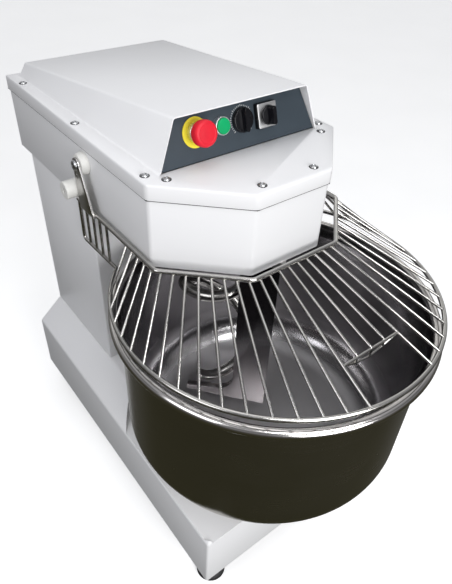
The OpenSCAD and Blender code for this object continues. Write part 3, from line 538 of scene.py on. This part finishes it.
# head body: walls with an inward flange at the top
hp, hi = head_pts(0), head_pts(-26)
V = [(x, y, Z0) for x, y in hp] + [(x, y, Z1 - 2.2) for x, y in hp] + [(x, y, Z1 - 2.2) for x, y in hi]
F = [(i, (i + 1) % 6, 6 + (i + 1) % 6, 6 + i) for i in range(6)] + [(6 + i, 6 + (i + 1) % 6, 12 + (i + 1) % 6, 12 + i) for i in range(6)]
folds = {}
for i in range(6):
    folds[(i, 6 + i)] = 5.0
    folds[(6 + i, 6 + (i + 1) % 6)] = 2.5
sheet("head_body_shell", V, F, folds, M["white_paint"], "machine", ["head_body"])

# head cover: lip, flange and hood in one skin
MR, KT = 15 / 29.0, 50.0 / 486.0


def side_x(y, z):
    return 160 + (12 / 508.0) * (y - 107) - 0.3692 * (z - Z1)


def top_z(y):
    return 324 - KT * (y - 114)


cz = (324 + KT * 114 - KT * (615 + MR * Z1)) / (1 - KT * MR)
cyr = 615 - MR * (cz - Z1)
op = head_pts(3)
V = [(x, y, Z1 - 25) for x, y in op] + [(x, y, Z1) for x, y in op]
i0 = len(V)
V += [(160, 107, Z1), (side_x(615, Z1), 615, Z1), (-side_x(615, Z1), 615, Z1), (-160, 107, Z1)]            # 12..15 hood's foot
V += [(side_x(114, 324), 114, 324), (side_x(cyr, cz), cyr, cz), (-side_x(cyr, cz), cyr, cz), (-side_x(114, 324), 114, 324)]  # 16..19
V += [(157.2, 111.2, Z1), (-157.2, 111.2, Z1)]                                                            # 20, 21
F = [(i, (i + 1) % 6, 6 + (i + 1) % 6, 6 + i) for i in range(6)]
F += [(6, 12, 20, 21, 15, 11), (6, 7, 12), (7, 8, 13, 12), (8, 9, 14, 13), (9, 10, 15, 14), (10, 11, 15)]
F += [(12, 13, 17, 16), (13, 14, 18, 17), (14, 15, 19, 18), (16, 17, 18, 19)]
folds = {}
for i in range(6):
    folds[(i, 6 + i)] = 6.0
    folds[(6 + i, 6 + (i + 1) % 6)] = 4.5
folds.update({(12, 13): 3.0, (13, 14): 3.0, (14, 15): 3.0, (13, 17): 4.0, (14, 18): 4.0, (16, 17): 4.0, (17, 18): 4.0, (18, 19): 4.0})
sheet("head_cover_shell", V, F, folds, M["white_paint"], "machine", ["head_cover"], thick=2.0)

# painted shadow: a thin black strip in the gap between the lid's lip and the body below it
bm = bmesh.new()
rings = [[bm.verts.new(W(x, y, z)) for x, y in head_pts(o)] for o, z in ((0.2, 218.6), (2.4, 218.6), (2.4, 219.7), (0.2, 219.7))]
for a in range(4):
    A, B = rings[a], rings[(a + 1) % 4]
    for j in range(6):
        bm.faces.new([A[j], A[(j + 1) % 6], B[(j + 1) % 6], B[j]])
finish_obj("lid_painted_shadow", bm, PAINTED_SHADOW, "machine", (), smooth=20)

# cover screws: domed heads with a drive recess, each in a black ring of painted shadow
screw = [(s * x, y) for s in (-1, 1) for x, y in ((52, 3), (158, 93), (178.5, 120), (180.5, 345), (180.5, 572))]
bm = bmesh.new()
rim = bmesh.new()
for sx, sy in screw:
    o = W(sx, sy, Z1)
    prof = [(0, 2.0), (1.2, 2.0), (2.2, 2.6), (2.9, 3.35), (4.0, 3.05), (5.2, 2.2), (5.9, 1.0), (6.1, 0.05)]
    rings = []
    for r, h in prof:
        rings.append([bm.verts.new(o + Vector((0, 0, h / 1000.0)))] if r < 1e-6 else [bm.verts.new(o + Vector((r * math.cos(2 * math.pi * j / 36), r * math.sin(2 * math.pi * j / 36), h)) / 1000.0) for j in range(36)])
    for a in range(len(rings) - 1):
        A, B = rings[a], rings[a + 1]
        for j in range(36):
            k = (j + 1) % 36
            bm.faces.new([A[0], B[j], B[k]] if len(A) == 1 else [A[j], B[j], B[k], A[k]])
    low = [bm.verts.new(v.co - Vector((0, 0, 0.6 / 1000))) for v in rings[-1]]
    for j in range(36):
        bm.faces.new([rings[-1][j], low[j], low[(j + 1) % 36], rings[-1][(j + 1) % 36]])
    bm.faces.new(low)
    # each ring is painted shadow: a flat black band round the screw head
    for ra, rb, ha, hb in ((6.1, 7.5, 0.05, 0.45),):
        A = [rim.verts.new(o + Vector((ra * math.cos(2 * math.pi * j / 36), ra * math.sin(2 * math.pi * j / 36), hb)) / 1000.0) for j in range(36)]
        B = [rim.verts.new(o + Vector((rb * math.cos(2 * math.pi * j / 36), rb * math.sin(2 * math.pi * j / 36), hb)) / 1000.0) for j in range(36)]
        C = [rim.verts.new(v.co - Vector((0, 0, 0.6 / 1000))) for v in B]
        D = [rim.verts.new(v.co - Vector((0, 0, 0.6 / 1000))) for v in A]
        for j in range(36):
            k = (j + 1) % 36
            for X, Y in ((A, B), (B, C), (C, D), (D, A)):
                rim.faces.new([X[j], X[k], Y[k], Y[j]])
finish_obj("cover_screw_heads", bm, M["zinc_steel"], "machine", ["cover_screws"], smooth=50)
finish_obj("cover_screw_shadow_rings", rim, PAINTED_SHADOW, "machine", ())

# ------------------------------------------------------------------ column
CH, CF, CR = 189.0, 310.0, 575.0
zb, zt = -296.9, 98.9
V = []
for z in (zb, zt):
    V += [(-CH + 16, CR, z), (-CH, CR, z), (-CH, CF, z), (CH, CF, z), (CH, CR, z), (CH - 16, CR, z)]
F = [(i, i + 1, 7 + i, 6 + i) for i in range(5)]
sheet("column_shell_skin", V, F, {(1, 7): 3.0, (2, 8): 4.0, (3, 9): 4.0, (4, 10): 3.0}, M["white_paint"], "machine", ["column_shell"])

# ------------------------------------------------------------------ base: exact recess from a boolean, then rounded folds
def base_mesh():
    hw, thw, zs_, zt_, zb_ = 249.5, 191.0, -348.0, -297.0, -497.0
    bm = bmesh.new()
    prof = [(-hw, zb_), (hw, zb_), (hw, zs_), (thw, zt_), (-thw, zt_), (-hw, zs_)]
    a = [bm.verts.new(W(x, -154, z)) for x, z in prof]
    b = [bm.verts.new(W(x, 579, z)) for x, z in prof]
    bm.faces.new(a)
    bm.faces.new(list(reversed(b)))
    for i in range(6):
        j = (i + 1) % 6
        bm.faces.new([a[j], a[i], b[i], b[j]])
    bmesh.ops.recalc_face_normals(bm, faces=bm.faces)
    me = bpy.data.meshes.new("base_block")
    bm.to_mesh(me)
    bm.free()
    ob = bpy.data.objects.new("base_shell_skin", me)
    bpy.context.scene.collection.objects.link(ob)
    me.materials.append(M["white_paint"])
    bv = ob.modifiers.new("fold", "BEVEL")
    bv.limit_method = "ANGLE"
    bv.angle_limit = math.radians(30)
    bv.width = 0.005
    bv.segments = 4
    apply_mods(ob)

    def cutter(r0, z0, z1, n=160):
        c = bmesh.new()
        lo = [c.verts.new(W(r0 * math.cos(2 * math.pi * j / n), r0 * math.sin(2 * math.pi * j / n), z0)) for j in range(n)]
        hi_ = [c.verts.new(W(r0 * math.cos(2 * math.pi * j / n), r0 * math.sin(2 * math.pi * j / n), z1)) for j in range(n)]
        c.faces.new(list(reversed(lo)))
        c.faces.new(hi_)
        for j in range(n):
            k = (j + 1) % n
            c.faces.new([lo[j], lo[k], hi_[k], hi_[j]])
        m2 = bpy.data.meshes.new("cut")
        c.to_mesh(m2)
        c.free()
        o2 = bpy.data.objects.new("cut", m2)
        bpy.context.scene.collection.objects.link(o2)
        return o2

    for cut in (cutter(285, -347, 50), cutter(66, -352, -340)):
        md = ob.modifiers.new("cut", "BOOLEAN")
        md.operation = "DIFFERENCE"
        md.solver = "EXACT"
        md.object = cut
        apply_mods(ob)
        bpy.data.objects.remove(cut)
    for p in ob.data.polygons:
        p.use_smooth = True
    ob.data.set_sharp_from_angle(angle=math.radians(28))
    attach(ob, "machine")
    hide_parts("base_shell")
    return ob


base_mesh()


# ------------------------------------------------------------------ bowl
def bowl():
    prof, mats = [], []
    R, T, C, D = 272.0, 3.0, 86.0, 331.0
    # outside, from the axis out and up
    o = [(0, -D), (60, -D), (120, -D), (R - C, -D)]
    for k in range(1, 25):
        a = math.radians(-90 + 90 * k / 24)
        o.append((R - C + C * math.cos(a), -D + C + C * math.sin(a)))
    o += [(R, -160), (R, -80), (R, -24), (R, -12), (R, -4)]
    n_out = len(o)
    # rolled rim
    br, bc = 9.0, 281.0
    bead = []
    for k in range(0, 29):
        a = math.radians(205 + (360 - 60) * k / 28)
        bead.append((bc + br * math.cos(a), br * math.sin(a)))
    # from the outer wall up, round outside and over to the inner wall
    bead = [(bc + br * math.cos(math.radians(t)), br * math.sin(math.radians(t))) for t in range(205, 505, 10)]
    inn = [(R - T, -2), (R - T, -24), (R - T, -80), (R - T, -160)]
    for k in range(0, 25):
        a = math.radians(0 - 90 * k / 24)
        inn.append((R - C + (C - T) * math.cos(a), -D + C + (C - T) * math.sin(a)))
    inn += [(150, -D + T), (100, -D + T), (50, -D + T), (0, -D + T)]
    prof = o + bead + inn
    mats = [0] * n_out + [2] * (len(bead) - 1) + [1] * (len(inn) + 1)
    return lathe("bowl_turned", prof, [BOWL_OUT, BOWL_IN, BEAD], "bowl", ["bowl_shell"], W(0, 0, 0), (0, 0, 1), n=192, smooth=50.0, mats=mats)


bowl()

# ------------------------------------------------------------------ guard
RR, RZ, FZ, FHW = 283.0, 33.0, 113.0, 200.0
bm = bmesh.new()
fp = [(-FHW, 329, FZ), (-FHW, 67, FZ), (-90, -38, FZ), (90, -38, FZ), (FHW, 67, FZ), (FHW, 329, FZ)]
add_tube(bm, wpts(bend(fp, 14)), 0.004, 20)
ex, ey = RR * math.sin(math.radians(135)), -RR * math.cos(math.radians(135))
for s in (-1, 1):
    side = [(s * FHW, 325, FZ), (s * FHW, 325, RZ - 4), (s * FHW, ey + 2, RZ)]
    add_tube(bm, wpts(bend(side, 8)), 0.0034, 16)
    for y in (300, 275, 250, 225):
        zz = RZ - 4 + 4 * (325 - y) / (325 - ey - 2)
        add_tube(bm, wpts([(s * FHW, y, FZ), (s * FHW, y, zz)]), 0.0024, 12)
finish_obj("guard_frame_rods", bm, M["bright_wire"], "guard", ["guard_frame"])

bm = bmesh.new()
ring_pts = [(RR * math.sin(math.radians(-135 + 270 * k / 180)), -RR * math.cos(math.radians(-135 + 270 * k / 180)), RZ) for k in range(181)]
add_tube(bm, wpts(ring_pts), 0.004, 20)
finish_obj("guard_ring_rod", bm, M["bright_wire"], "guard", ["guard_ring"])

NW = 34
seg = [155 - 67, math.hypot(FHW - 90, 67 + 38), 180]
flen = 2 * seg[0] + 2 * seg[1] + seg[2]


def fpt(d):
    if d < seg[0]:
        return (-FHW, 155 - d)
    if d < seg[0] + seg[1]:
        t = (d - seg[0]) / seg[1]
        return (-FHW + t * (FHW - 90), 67 + t * (-38 - 67))
    if d < seg[0] + seg[1] + seg[2]:
        return (-90 + d - seg[0] - seg[1], -38)
    q = fpt(flen - d)
    return (-q[0], q[1])


def w_start(i):
    p = fpt(flen * i / NW)
    return Vector((p[0], p[1], FZ - 2))


def w_end(i):
    a = math.radians(-120 + 240 * i / NW)
    return Vector((RR * math.sin(a), -RR * math.cos(a), RZ + 1.5))


bm = bmesh.new()
cut = (NW // 2 - 1, NW // 2, NW // 2 + 1)
for i in range(NW + 1):
    a, b = w_start(i), w_end(i)
    if i in cut:
        e = a.lerp(b, 0.7)
        add_tube(bm, wpts(bend([a, e, e - Vector((0, 0, 18 if i == cut[1] else 15))], 5)), 0.0023, 12)
    else:
        add_tube(bm, wpts([a, a.lerp(b, 0.5), b]), 0.0024, 12)
ca = w_start(cut[0] - 1).lerp(w_end(cut[0] - 1), 0.725)
cb = w_start(cut[2] + 1).lerp(w_end(cut[2] + 1), 0.725)
add_tube(bm, wpts([ca, ca.lerp(cb, 0.5), cb]), 0.0024, 12)
lows = [w_start(i).lerp(w_end(i), 0.7) - Vector((0, 0, 18 if i == cut[1] else 15)) for i in cut]
add_tube(bm, wpts(bend([ca.lerp(cb, 0.03) - Vector((0, 0, 0.8)), *lows, ca.lerp(cb, 0.97) - Vector((0, 0, 0.8))], 45)), 0.002, 12)
finish_obj("guard_wire_set", bm, M["bright_wire"], "guard", ["guard_wires"])

# brackets, nylon spacers, stops, pivot bolts
PY, PZ, SY, SZ = 302.0, 193.0, 326.4, 138.0
for s, tag in ((-1, "left"), (1, "right")):
    def tw(u, v, h, s=s):
        return W(s * h, u, v)

    out = []
    for k in range(13):
        a = math.radians(180 * k / 12)
        out.append((PY + 12.5 * math.cos(a), PZ + 12.5 * math.sin(a)))
    out += [(256, 109), (306.5, 109)]
    plate("guard_bracket_" + tag, out, 203.5, 207.5, M["stainless"], "guard", ["guard_brackets"], tw, ease=0.5, holes=[(PY, PZ, 6.05), (PY - 1, PZ - 17, 2.5)])
    lathe("guard_spacer_" + tag, rounded([(6.1, 0), (20, 0), (20, 5), (17, 13.4), (6.1, 13.4)], 1.2), M["nylon"], "machine", ["guard_spacers"], W(s * 190.02, PY, PZ), (s, 0, 0), n=64, closed=True)
    lathe("guard_stop_" + tag, rounded([(0, 0), (16.5, 0), (16.5, 34), (15, 36), (4.6, 36), (4.6, 26), (0, 26)], 0.9), M["nylon"], "machine", ["guard_stops"], W(s * 190.02, SY, SZ), (s, 0, 0), n=64)
    lathe("guard_pivot_bolt_" + tag, rounded([(0, -14), (6, -14), (6, 17.8), (9, 17.8), (9, 20.3), (7.5, 22.3), (2.6, 23.2), (2.6, 20.8), (0, 20.8)], 0.5), M["zinc_steel"], "machine", ["guard_pivot_bolts"], W(s * 190, PY, PZ), (s, 0, 0), n=48)

# ------------------------------------------------------------------ controls
LEAN = math.radians(16.7)
PN = Vector((0, -math.cos(LEAN), math.sin(LEAN)))
PV = Vector((0, math.sin(LEAN), math.cos(LEAN)))


def on_panel(u, v, w=0.0):
    return W(u, 111.5, Z1) + (PV * v + PN * w) / 1000.0


def tp(u, v, h):
    return on_panel(0, 0) + (Vector((1, 0, 0)) * u + PV * v + PN * h) / 1000.0


EU, SU, TU, LU, CVV = -86.0, -39.0, 4.0, 50.0, 45.0
plate("control_panel_plate", [(-156.6, 1), (156.6, 1), (130.2, 76), (-130.2, 76)], -2.5, 0, M["panel_grey"], "machine", ["control_panel"], tp, ease=0.3, seg=2)
lathe("stop_disc", rounded([(14.4, 0.05), (23, 0.05), (23, 1.6), (14.4, 1.6)], 0.4), M["yellow"], "machine", ["estop_ring"], on_panel(EU, CVV), PN, n=72, closed=True)
lathe("stop_collar", rounded([(7.4, 1.65), (14.5, 1.65), (14.5, 8.4), (13.6, 9.6), (7.4, 9.6)], 0.5), M["silver"], "machine", ["estop_collar"], on_panel(EU, CVV), PN, n=64, closed=True)
lathe("stop_mushroom", rounded([(0, 9.7), (7.2, 9.7), (7.2, 15.6), (16.4, 16.2), (19.4, 18.6), (20, 22), (20, 29.2), (18.4, 32.8), (14.6, 34.1), (13.9, 33.7), (7, 34.3), (0, 34.5)], 1.3, 5), M["red_gloss"], "stop_head", ["estop_button"], on_panel(EU, CVV), PN, n=96)
lathe("start_ring", rounded([(12.35, 0.05), (14.2, 0.05), (14.2, 8.6), (13.6, 9.5), (12.6, 9.5), (12.35, 8.8)], 0.35), M["silver"], "machine", ["start_bezel"], on_panel(SU, CVV), PN, n=72, closed=True)
lathe("start_push", rounded([(0, 3.5), (12.1, 3.5), (12.1, 11.2), (11.2, 11.8), (0, 11.8)], 0.6), M["green_gloss"], "start_cap", ["start_button"], on_panel(SU, CVV), PN, n=72)

# timer ticks
bm = bmesh.new()
for i in range(31):
    a = math.radians(-135 + i * 9)
    ln = 3.4 if i % 5 == 0 else 2.2
    d, p = Vector((-math.sin(a), math.cos(a))), Vector((math.cos(a), math.sin(a)))
    c = []
    for h in (0.02, 0.27):
        for r, w in ((20.6, -0.42), (20.6, 0.42), (20.6 + ln, 0.42), (20.6 + ln, -0.42)):
            q = d * r + p * w
            c.append(bm.verts.new(tp(TU + q.x, CVV + q.y, h)))
    for f in ((0, 1, 2, 3), (7, 6, 5, 4), (0, 4, 5, 1), (1, 5, 6, 2), (2, 6, 7, 3), (3, 7, 4, 0)):
        bm.faces.new([c[k] for k in f])
finish_obj("timer_ticks", bm, M["white_print"], "machine", ["timer_dial"], smooth=None)


def grip_knob(name, c, base, top, width, height, body, node, h0):
    """a round skirt with a raised grip bar across it"""
    bm = bmesh.new()
    n = 96
    skirt = rounded([(0, h0), (base, h0), (base, h0 + 4.0), (base - 1.3, h0 + 6.0), (0, h0 + 6.0)], 0.7)
    rings = []
    for r, h in skirt:
        rings.append([bm.verts.new(tp(c[0], c[1], h))] if r < 1e-6 else [bm.verts.new(tp(c[0] + r * math.cos(2 * math.pi * j / n), c[1] + r * math.sin(2 * math.pi * j / n), h)) for j in range(n)])
    for a in range(len(rings) - 1):
        A, B = rings[a], rings[a + 1]
        for j in range(n):
            k = (j + 1) % n
            if len(A) == 1:
                bm.faces.new([A[0], B[k], B[j]])
            elif len(B) == 1:
                bm.faces.new([A[j], A[k], B[0]])
            else:
                bm.faces.new([A[j], A[k], B[k], B[j]])
    # the grip: a bar with rounded ends, narrowing towards its top
    L = top
    levels = [(h0 + 5.6, 1.0), (h0 + 8.5, 0.90), (h0 + height - 2.2, 0.80), (h0 + height - 0.7, 0.74), (h0 + height, 0.62)]
    loops = []
    for h, k in levels:
        lp = []
        for s in (1, -1):
            for q in range(13):
                a = math.radians(-90 + 180 * q / 12)
                u = width / 2 * k * math.sin(a) * s
                v = s * ((L - width / 2) + width / 2 * math.cos(a)) * (0.94 + 0.06 * k)
                lp.append(bm.verts.new(tp(c[0] + u, c[1] + v, h)))
        loops.append(lp)
    for a in range(len(loops) - 1):
        A, B = loops[a], loops[a + 1]
        for j in range(len(A)):
            k = (j + 1) % len(A)
            bm.faces.new([A[j], A[k], B[k], B[j]])
    bm.faces.new(list(reversed(loops[0])))
    bm.faces.new(loops[-1])
    return finish_obj(name, bm, M["black_plastic"], body, [node], smooth=40)


grip_knob("timer_grip", (TU, CVV), 19.6, 18.2, 9.0, 14.9, "timer_dial_knob", "timer_knob", 1.6)
grip_knob("selector_grip", (LU, CVV - 1), 15.4, 14.6, 9.0, 19.4, "selector_handle", "selector_knob", 9.6)


def tsel(u, v, h):
    return tp(LU + u, CVV - 1 + v, h)


plate("selector_base", arc_outline([(-20, -20, 3), (20, -20, 3), (20, 20, 3), (-20, 20, 3)]), 0.02, 8.0, M["black_plastic"], "machine", ["selector_body"], tsel, ease=0.8)
plate("selector_face", arc_outline([(-19, -19, 2), (19, -19, 2), (19, 19, 2), (-19, 19, 2)]), 8.02, 9.4, M["silver"], "machine", ["selector_plate"], tsel, ease=0.4, holes=[(0, 0, 14)])

# ------------------------------------------------------------------ breaker bar and spiral
BC, BA = (-12.0, 30.5), math.radians(130.8)


def tb(u, v, h):
    return W(BC[0] + u * math.cos(BA) + h * math.sin(BA), BC[1] + u * math.sin(BA) - h * math.cos(BA), v)


out = [(-34, -288), (34, -288), (132, -284), (132, -271)]
for k in range(0, 13):
    a = math.radians(-90 - 90 * k / 12)
    out.append((74 + 40 * math.cos(a), -226 + 40 * math.sin(a)))
out += [(34, -226), (34, 87.3), (-34, 87.3)]
plate("breaker_blade", out, -7, 7, BREAKER_STEEL, "machine", ["breaker_bar"], tb, ease=1.6, seg=4)


def hook():
    def A(s):
        return math.radians(60 - 590 * s)

    def R(s):
        k = math.sin(s / 0.13 * math.pi / 2) if s < 0.13 else (1 - 0.25 * ((s - 0.93) / 0.07) ** 2 if s > 0.93 else 1)
        return 70 * k

    tab = [(0, 42), (0.05, 39.6), (0.09, 34.5), (0.13, 27), (0.18, 6), (0.23, -18), (0.28, -34), (0.34, -42), (0.40, -46), (0.45, -55), (0.50, -74), (0.55, -98), (0.60, -124), (0.65, -149), (0.70, -172), (0.80, -213), (0.90, -250), (1.0, -284)]

    def Z(s):
        def lin(q):
            q = max(0.0, min(1.0, q))
            for (a, za), (b, zb_) in zip(tab, tab[1:]):
                if q <= b:
                    return za + (zb_ - za) * (q - a) / (b - a)
            return tab[-1][1]

        h = 0.022 * min(1.0, s / 0.03, (1 - s) / 0.03) if 0 < s < 1 else 0
        return sum(lin(s + h * k / 4) for k in range(-4, 5)) / 9

    bm = bmesh.new()
    pts = [W(R(s) * math.cos(A(s)), 160 + R(s) * math.sin(A(s)), Z(s)) for s in [k / 220 for k in range(221)]]
    add_tube(bm, pts, 0.012, 28, rfun=lambda u: 1 if u < 0.96 else 1 - 0.42 * ((u - 0.96) / 0.04) ** 2)
    return finish_obj("spiral_rod", bm, M["bright_wire"], "spiral", ())


hook()
lathe("spiral_flange", rounded([(0, 33), (20, 33), (20, 50), (55, 50), (55, 65.9), (0, 65.9)], 1.5), M["stainless"], "spiral", ["spiral_hook"], W(0, 160, 0), (0, 0, 1), n=96)

# ------------------------------------------------------------------ CAD nodes that stay: eased edges and a real finish
shown = [n for n, o in NODES.items() if not o.hide_render]
for n in shown:
    o = NODES[n]
    o.data.materials.clear()
    o.data.materials.append(M[SLOT[n]])
    w = o.modifiers.new("join", "WELD")
    w.merge_threshold = 1e-6
    b = o.modifiers.new("ease", "BEVEL")
    b.limit_method = "ANGLE"
    b.angle_limit = math.radians(45)
    b.width = 0.0003
    b.segments = 2
    b.harden_normals = False

# ------------------------------------------------------------------ stage, light, camera
bm = bmesh.new()
S = 9.0
q = [bm.verts.new(v) for v in ((-S, -S, 0), (S, -S, 0), (S, S, 0), (-S, S, 0))]
bm.faces.new(q)
me = bpy.data.meshes.new("floor")
bm.to_mesh(me)
bm.free()
floor = bpy.data.objects.new("floor", me)
bpy.context.scene.collection.objects.link(floor)
fm, nt, bs = new_mat("mx_floor")
nt.links.new(ramp(nt, noise(nt, coords(nt), 3.0, 3.0), (0.86, 0.86, 0.86), (0.9, 0.9, 0.9)), bs.inputs["Base Color"])
bs.inputs["Roughness"].default_value = 0.8
bs.inputs["Emission Color"].default_value = (1, 1, 1, 1)
bs.inputs["Emission Strength"].default_value = 0.42
me.materials.append(fm)
floor.visible_glossy = False
floor.visible_diffuse = False

wd = bpy.data.worlds.new("studio")
bpy.context.scene.world = wd
wd.use_nodes = True
nt = wd.node_tree
nt.nodes.clear()
wo = nt.nodes.new("ShaderNodeOutputWorld")
lp = nt.nodes.new("ShaderNodeLightPath")
bg_cam = nt.nodes.new("ShaderNodeBackground")
bg_cam.inputs[0].default_value = (1, 1, 1, 1)
bg_cam.inputs[1].default_value = 1.0
bg_dif = nt.nodes.new("ShaderNodeBackground")
bg_dif.inputs[1].default_value = 1.0
bg_glo = nt.nodes.new("ShaderNodeBackground")
tc = nt.nodes.new("ShaderNodeTexCoord")
sp = nt.nodes.new("ShaderNodeSeparateXYZ")
nt.links.new(tc.outputs["Generated"], sp.inputs[0])
rp = nt.nodes.new("ShaderNodeValToRGB")
cr = rp.color_ramp
cr.elements[0].position = 0.0
cr.elements[0].color = (0.036, 0.034, 0.016, 1)
cr.elements[1].position = 1.0
cr.elements[1].color = (0.30, 0.30, 0.32, 1)
for p, c in ((0.30, (0.05, 0.047, 0.03, 1)), (0.48, (0.09, 0.085, 0.08, 1)), (0.62, (0.26, 0.26, 0.27, 1)), (0.74, (0.10, 0.10, 0.105, 1)), (0.86, (0.42, 0.42, 0.44, 1))):
    el = cr.elements.new(p)
    el.color = c
mr = nt.nodes.new("ShaderNodeMapRange")
mr.inputs["From Min"].default_value = -1
mr.inputs["From Max"].default_value = 1
nt.links.new(sp.outputs[2], mr.inputs["Value"])
nt.links.new(mr.outputs[0], rp.inputs[0])
bg_glo.inputs[1].default_value = 1.0
rd = nt.nodes.new("ShaderNodeValToRGB")
rd.color_ramp.elements[0].position = 0.0
rd.color_ramp.elements[0].color = (0.10, 0.10, 0.10, 1)
rd.color_ramp.elements[1].position = 1.0
rd.color_ramp.elements[1].color = (0.52, 0.53, 0.55, 1)
el = rd.color_ramp.elements.new(0.5)
el.color = (0.27, 0.275, 0.285, 1)
nt.links.new(mr.outputs[0], rd.inputs[0])
nt.links.new(rd.outputs[0], bg_dif.inputs[0])
# the backdrop behind the machine is light, the room behind the camera is dark
dt = nt.nodes.new("ShaderNodeVectorMath")
dt.operation = "DOT_PRODUCT"
dt.inputs[1].default_value = (math.sin(math.radians(39.46)), math.cos(math.radians(39.46)), 0)
nt.links.new(tc.outputs["Generated"], dt.inputs[0])
md = nt.nodes.new("ShaderNodeMapRange")
md.inputs["From Min"].default_value = 0.15
md.inputs["From Max"].default_value = 0.85
nt.links.new(dt.outputs["Value"], md.inputs["Value"])
# seen in polished metal, the backdrop is a bright band with dimmer room above and below it
rb = nt.nodes.new("ShaderNodeValToRGB")
rb.color_ramp.elements[0].position = 0.0
rb.color_ramp.elements[0].color = (0.10, 0.10, 0.10, 1)
rb.color_ramp.elements[1].position = 1.0
rb.color_ramp.elements[1].color = (0.60, 0.60, 0.62, 1)
for p, k in ((0.50, 0.30), (0.61, 0.26), (0.66, 1.40), (0.72, 1.40), (0.775, 0.75), (0.84, 0.62)):
    el = rb.color_ramp.elements.new(p)
    el.color = (k, k, k, 1)
nt.links.new(mr.outputs[0], rb.inputs[0])
back = mixcol(nt, md.outputs[0], rp.outputs[0], rb.outputs[0])
nt.links.new(back, bg_glo.inputs[0])
m1 = nt.nodes.new("ShaderNodeMixShader")
m2 = nt.nodes.new("ShaderNodeMixShader")
nt.links.new(lp.outputs["Is Glossy Ray"], m1.inputs[0])
nt.links.new(bg_dif.outputs[0], m1.inputs[1])
nt.links.new(bg_glo.outputs[0], m1.inputs[2])
nt.links.new(lp.outputs["Is Camera Ray"], m2.inputs[0])
nt.links.new(m1.outputs[0], m2.inputs[1])
nt.links.new(bg_cam.outputs[0], m2.inputs[2])
nt.links.new(m2.outputs[0], wo.inputs[0])


def area(name, loc, target, size, power, col=(1, 1, 1)):
    ld = bpy.data.lights.new(name, "AREA")
    ld.shape = "RECTANGLE"
    ld.size, ld.size_y = size
    ld.energy = power
    ld.color = col
    lo_ = bpy.data.objects.new(name, ld)
    bpy.context.scene.collection.objects.link(lo_)
    lo_.location = loc
    lo_.rotation_mode = "QUATERNION"
    lo_.rotation_quaternion = (Vector(target) - Vector(loc)).to_track_quat("-Z", "Y")
    return lo_


area("key", (-0.30, -2.7, 1.35), (0, -0.1, 0.65), (1.8, 1.2), 62)
area("fill", (-1.5, -0.3, 1.55), (0, 0.1, 0.75), (0.9, 0.9), 8, (0.97, 0.97, 1.0))
area("top", (0.0, 0.2, 3.0), (0, 0, 0.5), (1.8, 1.4), 9)
glint = area("glint", (-0.1, -1.35, 2.4), (0, -0.15, 0.3), (1.5, 0.40), 26)
glint.visible_diffuse = False

bpy.context.scene.view_settings.view_transform = "Standard"

cam = bpy.data.cameras.new("cam")
co = bpy.data.objects.new("cam", cam)
bpy.context.scene.collection.objects.link(co)
bpy.context.scene.camera = co
cam.sensor_width = 36.0
cam.lens = 548.0 / 584.0 * 36.0
cam.clip_start, cam.clip_end = 0.02, 50
yaw, pit, rol = math.radians(39.46), math.radians(39.71), math.radians(3.01)
fh = Vector((math.sin(yaw), math.cos(yaw), 0))
up = Vector((0, 0, 1))
rt = Vector((math.cos(yaw), -math.sin(yaw), 0))
fw = fh * math.cos(pit) - up * math.sin(pit)
uu = fh * math.sin(pit) + up * math.cos(pit)
r2 = rt * math.cos(rol) + uu * math.sin(rol)
u2 = -rt * math.sin(rol) + uu * math.cos(rol)
co.matrix_world = Matrix(((r2.x, u2.x, -fw.x, -0.5373), (r2.y, u2.y, -fw.y, -0.6893), (r2.z, u2.z, -fw.z, 1.1976), (0, 0, 0, 1)))
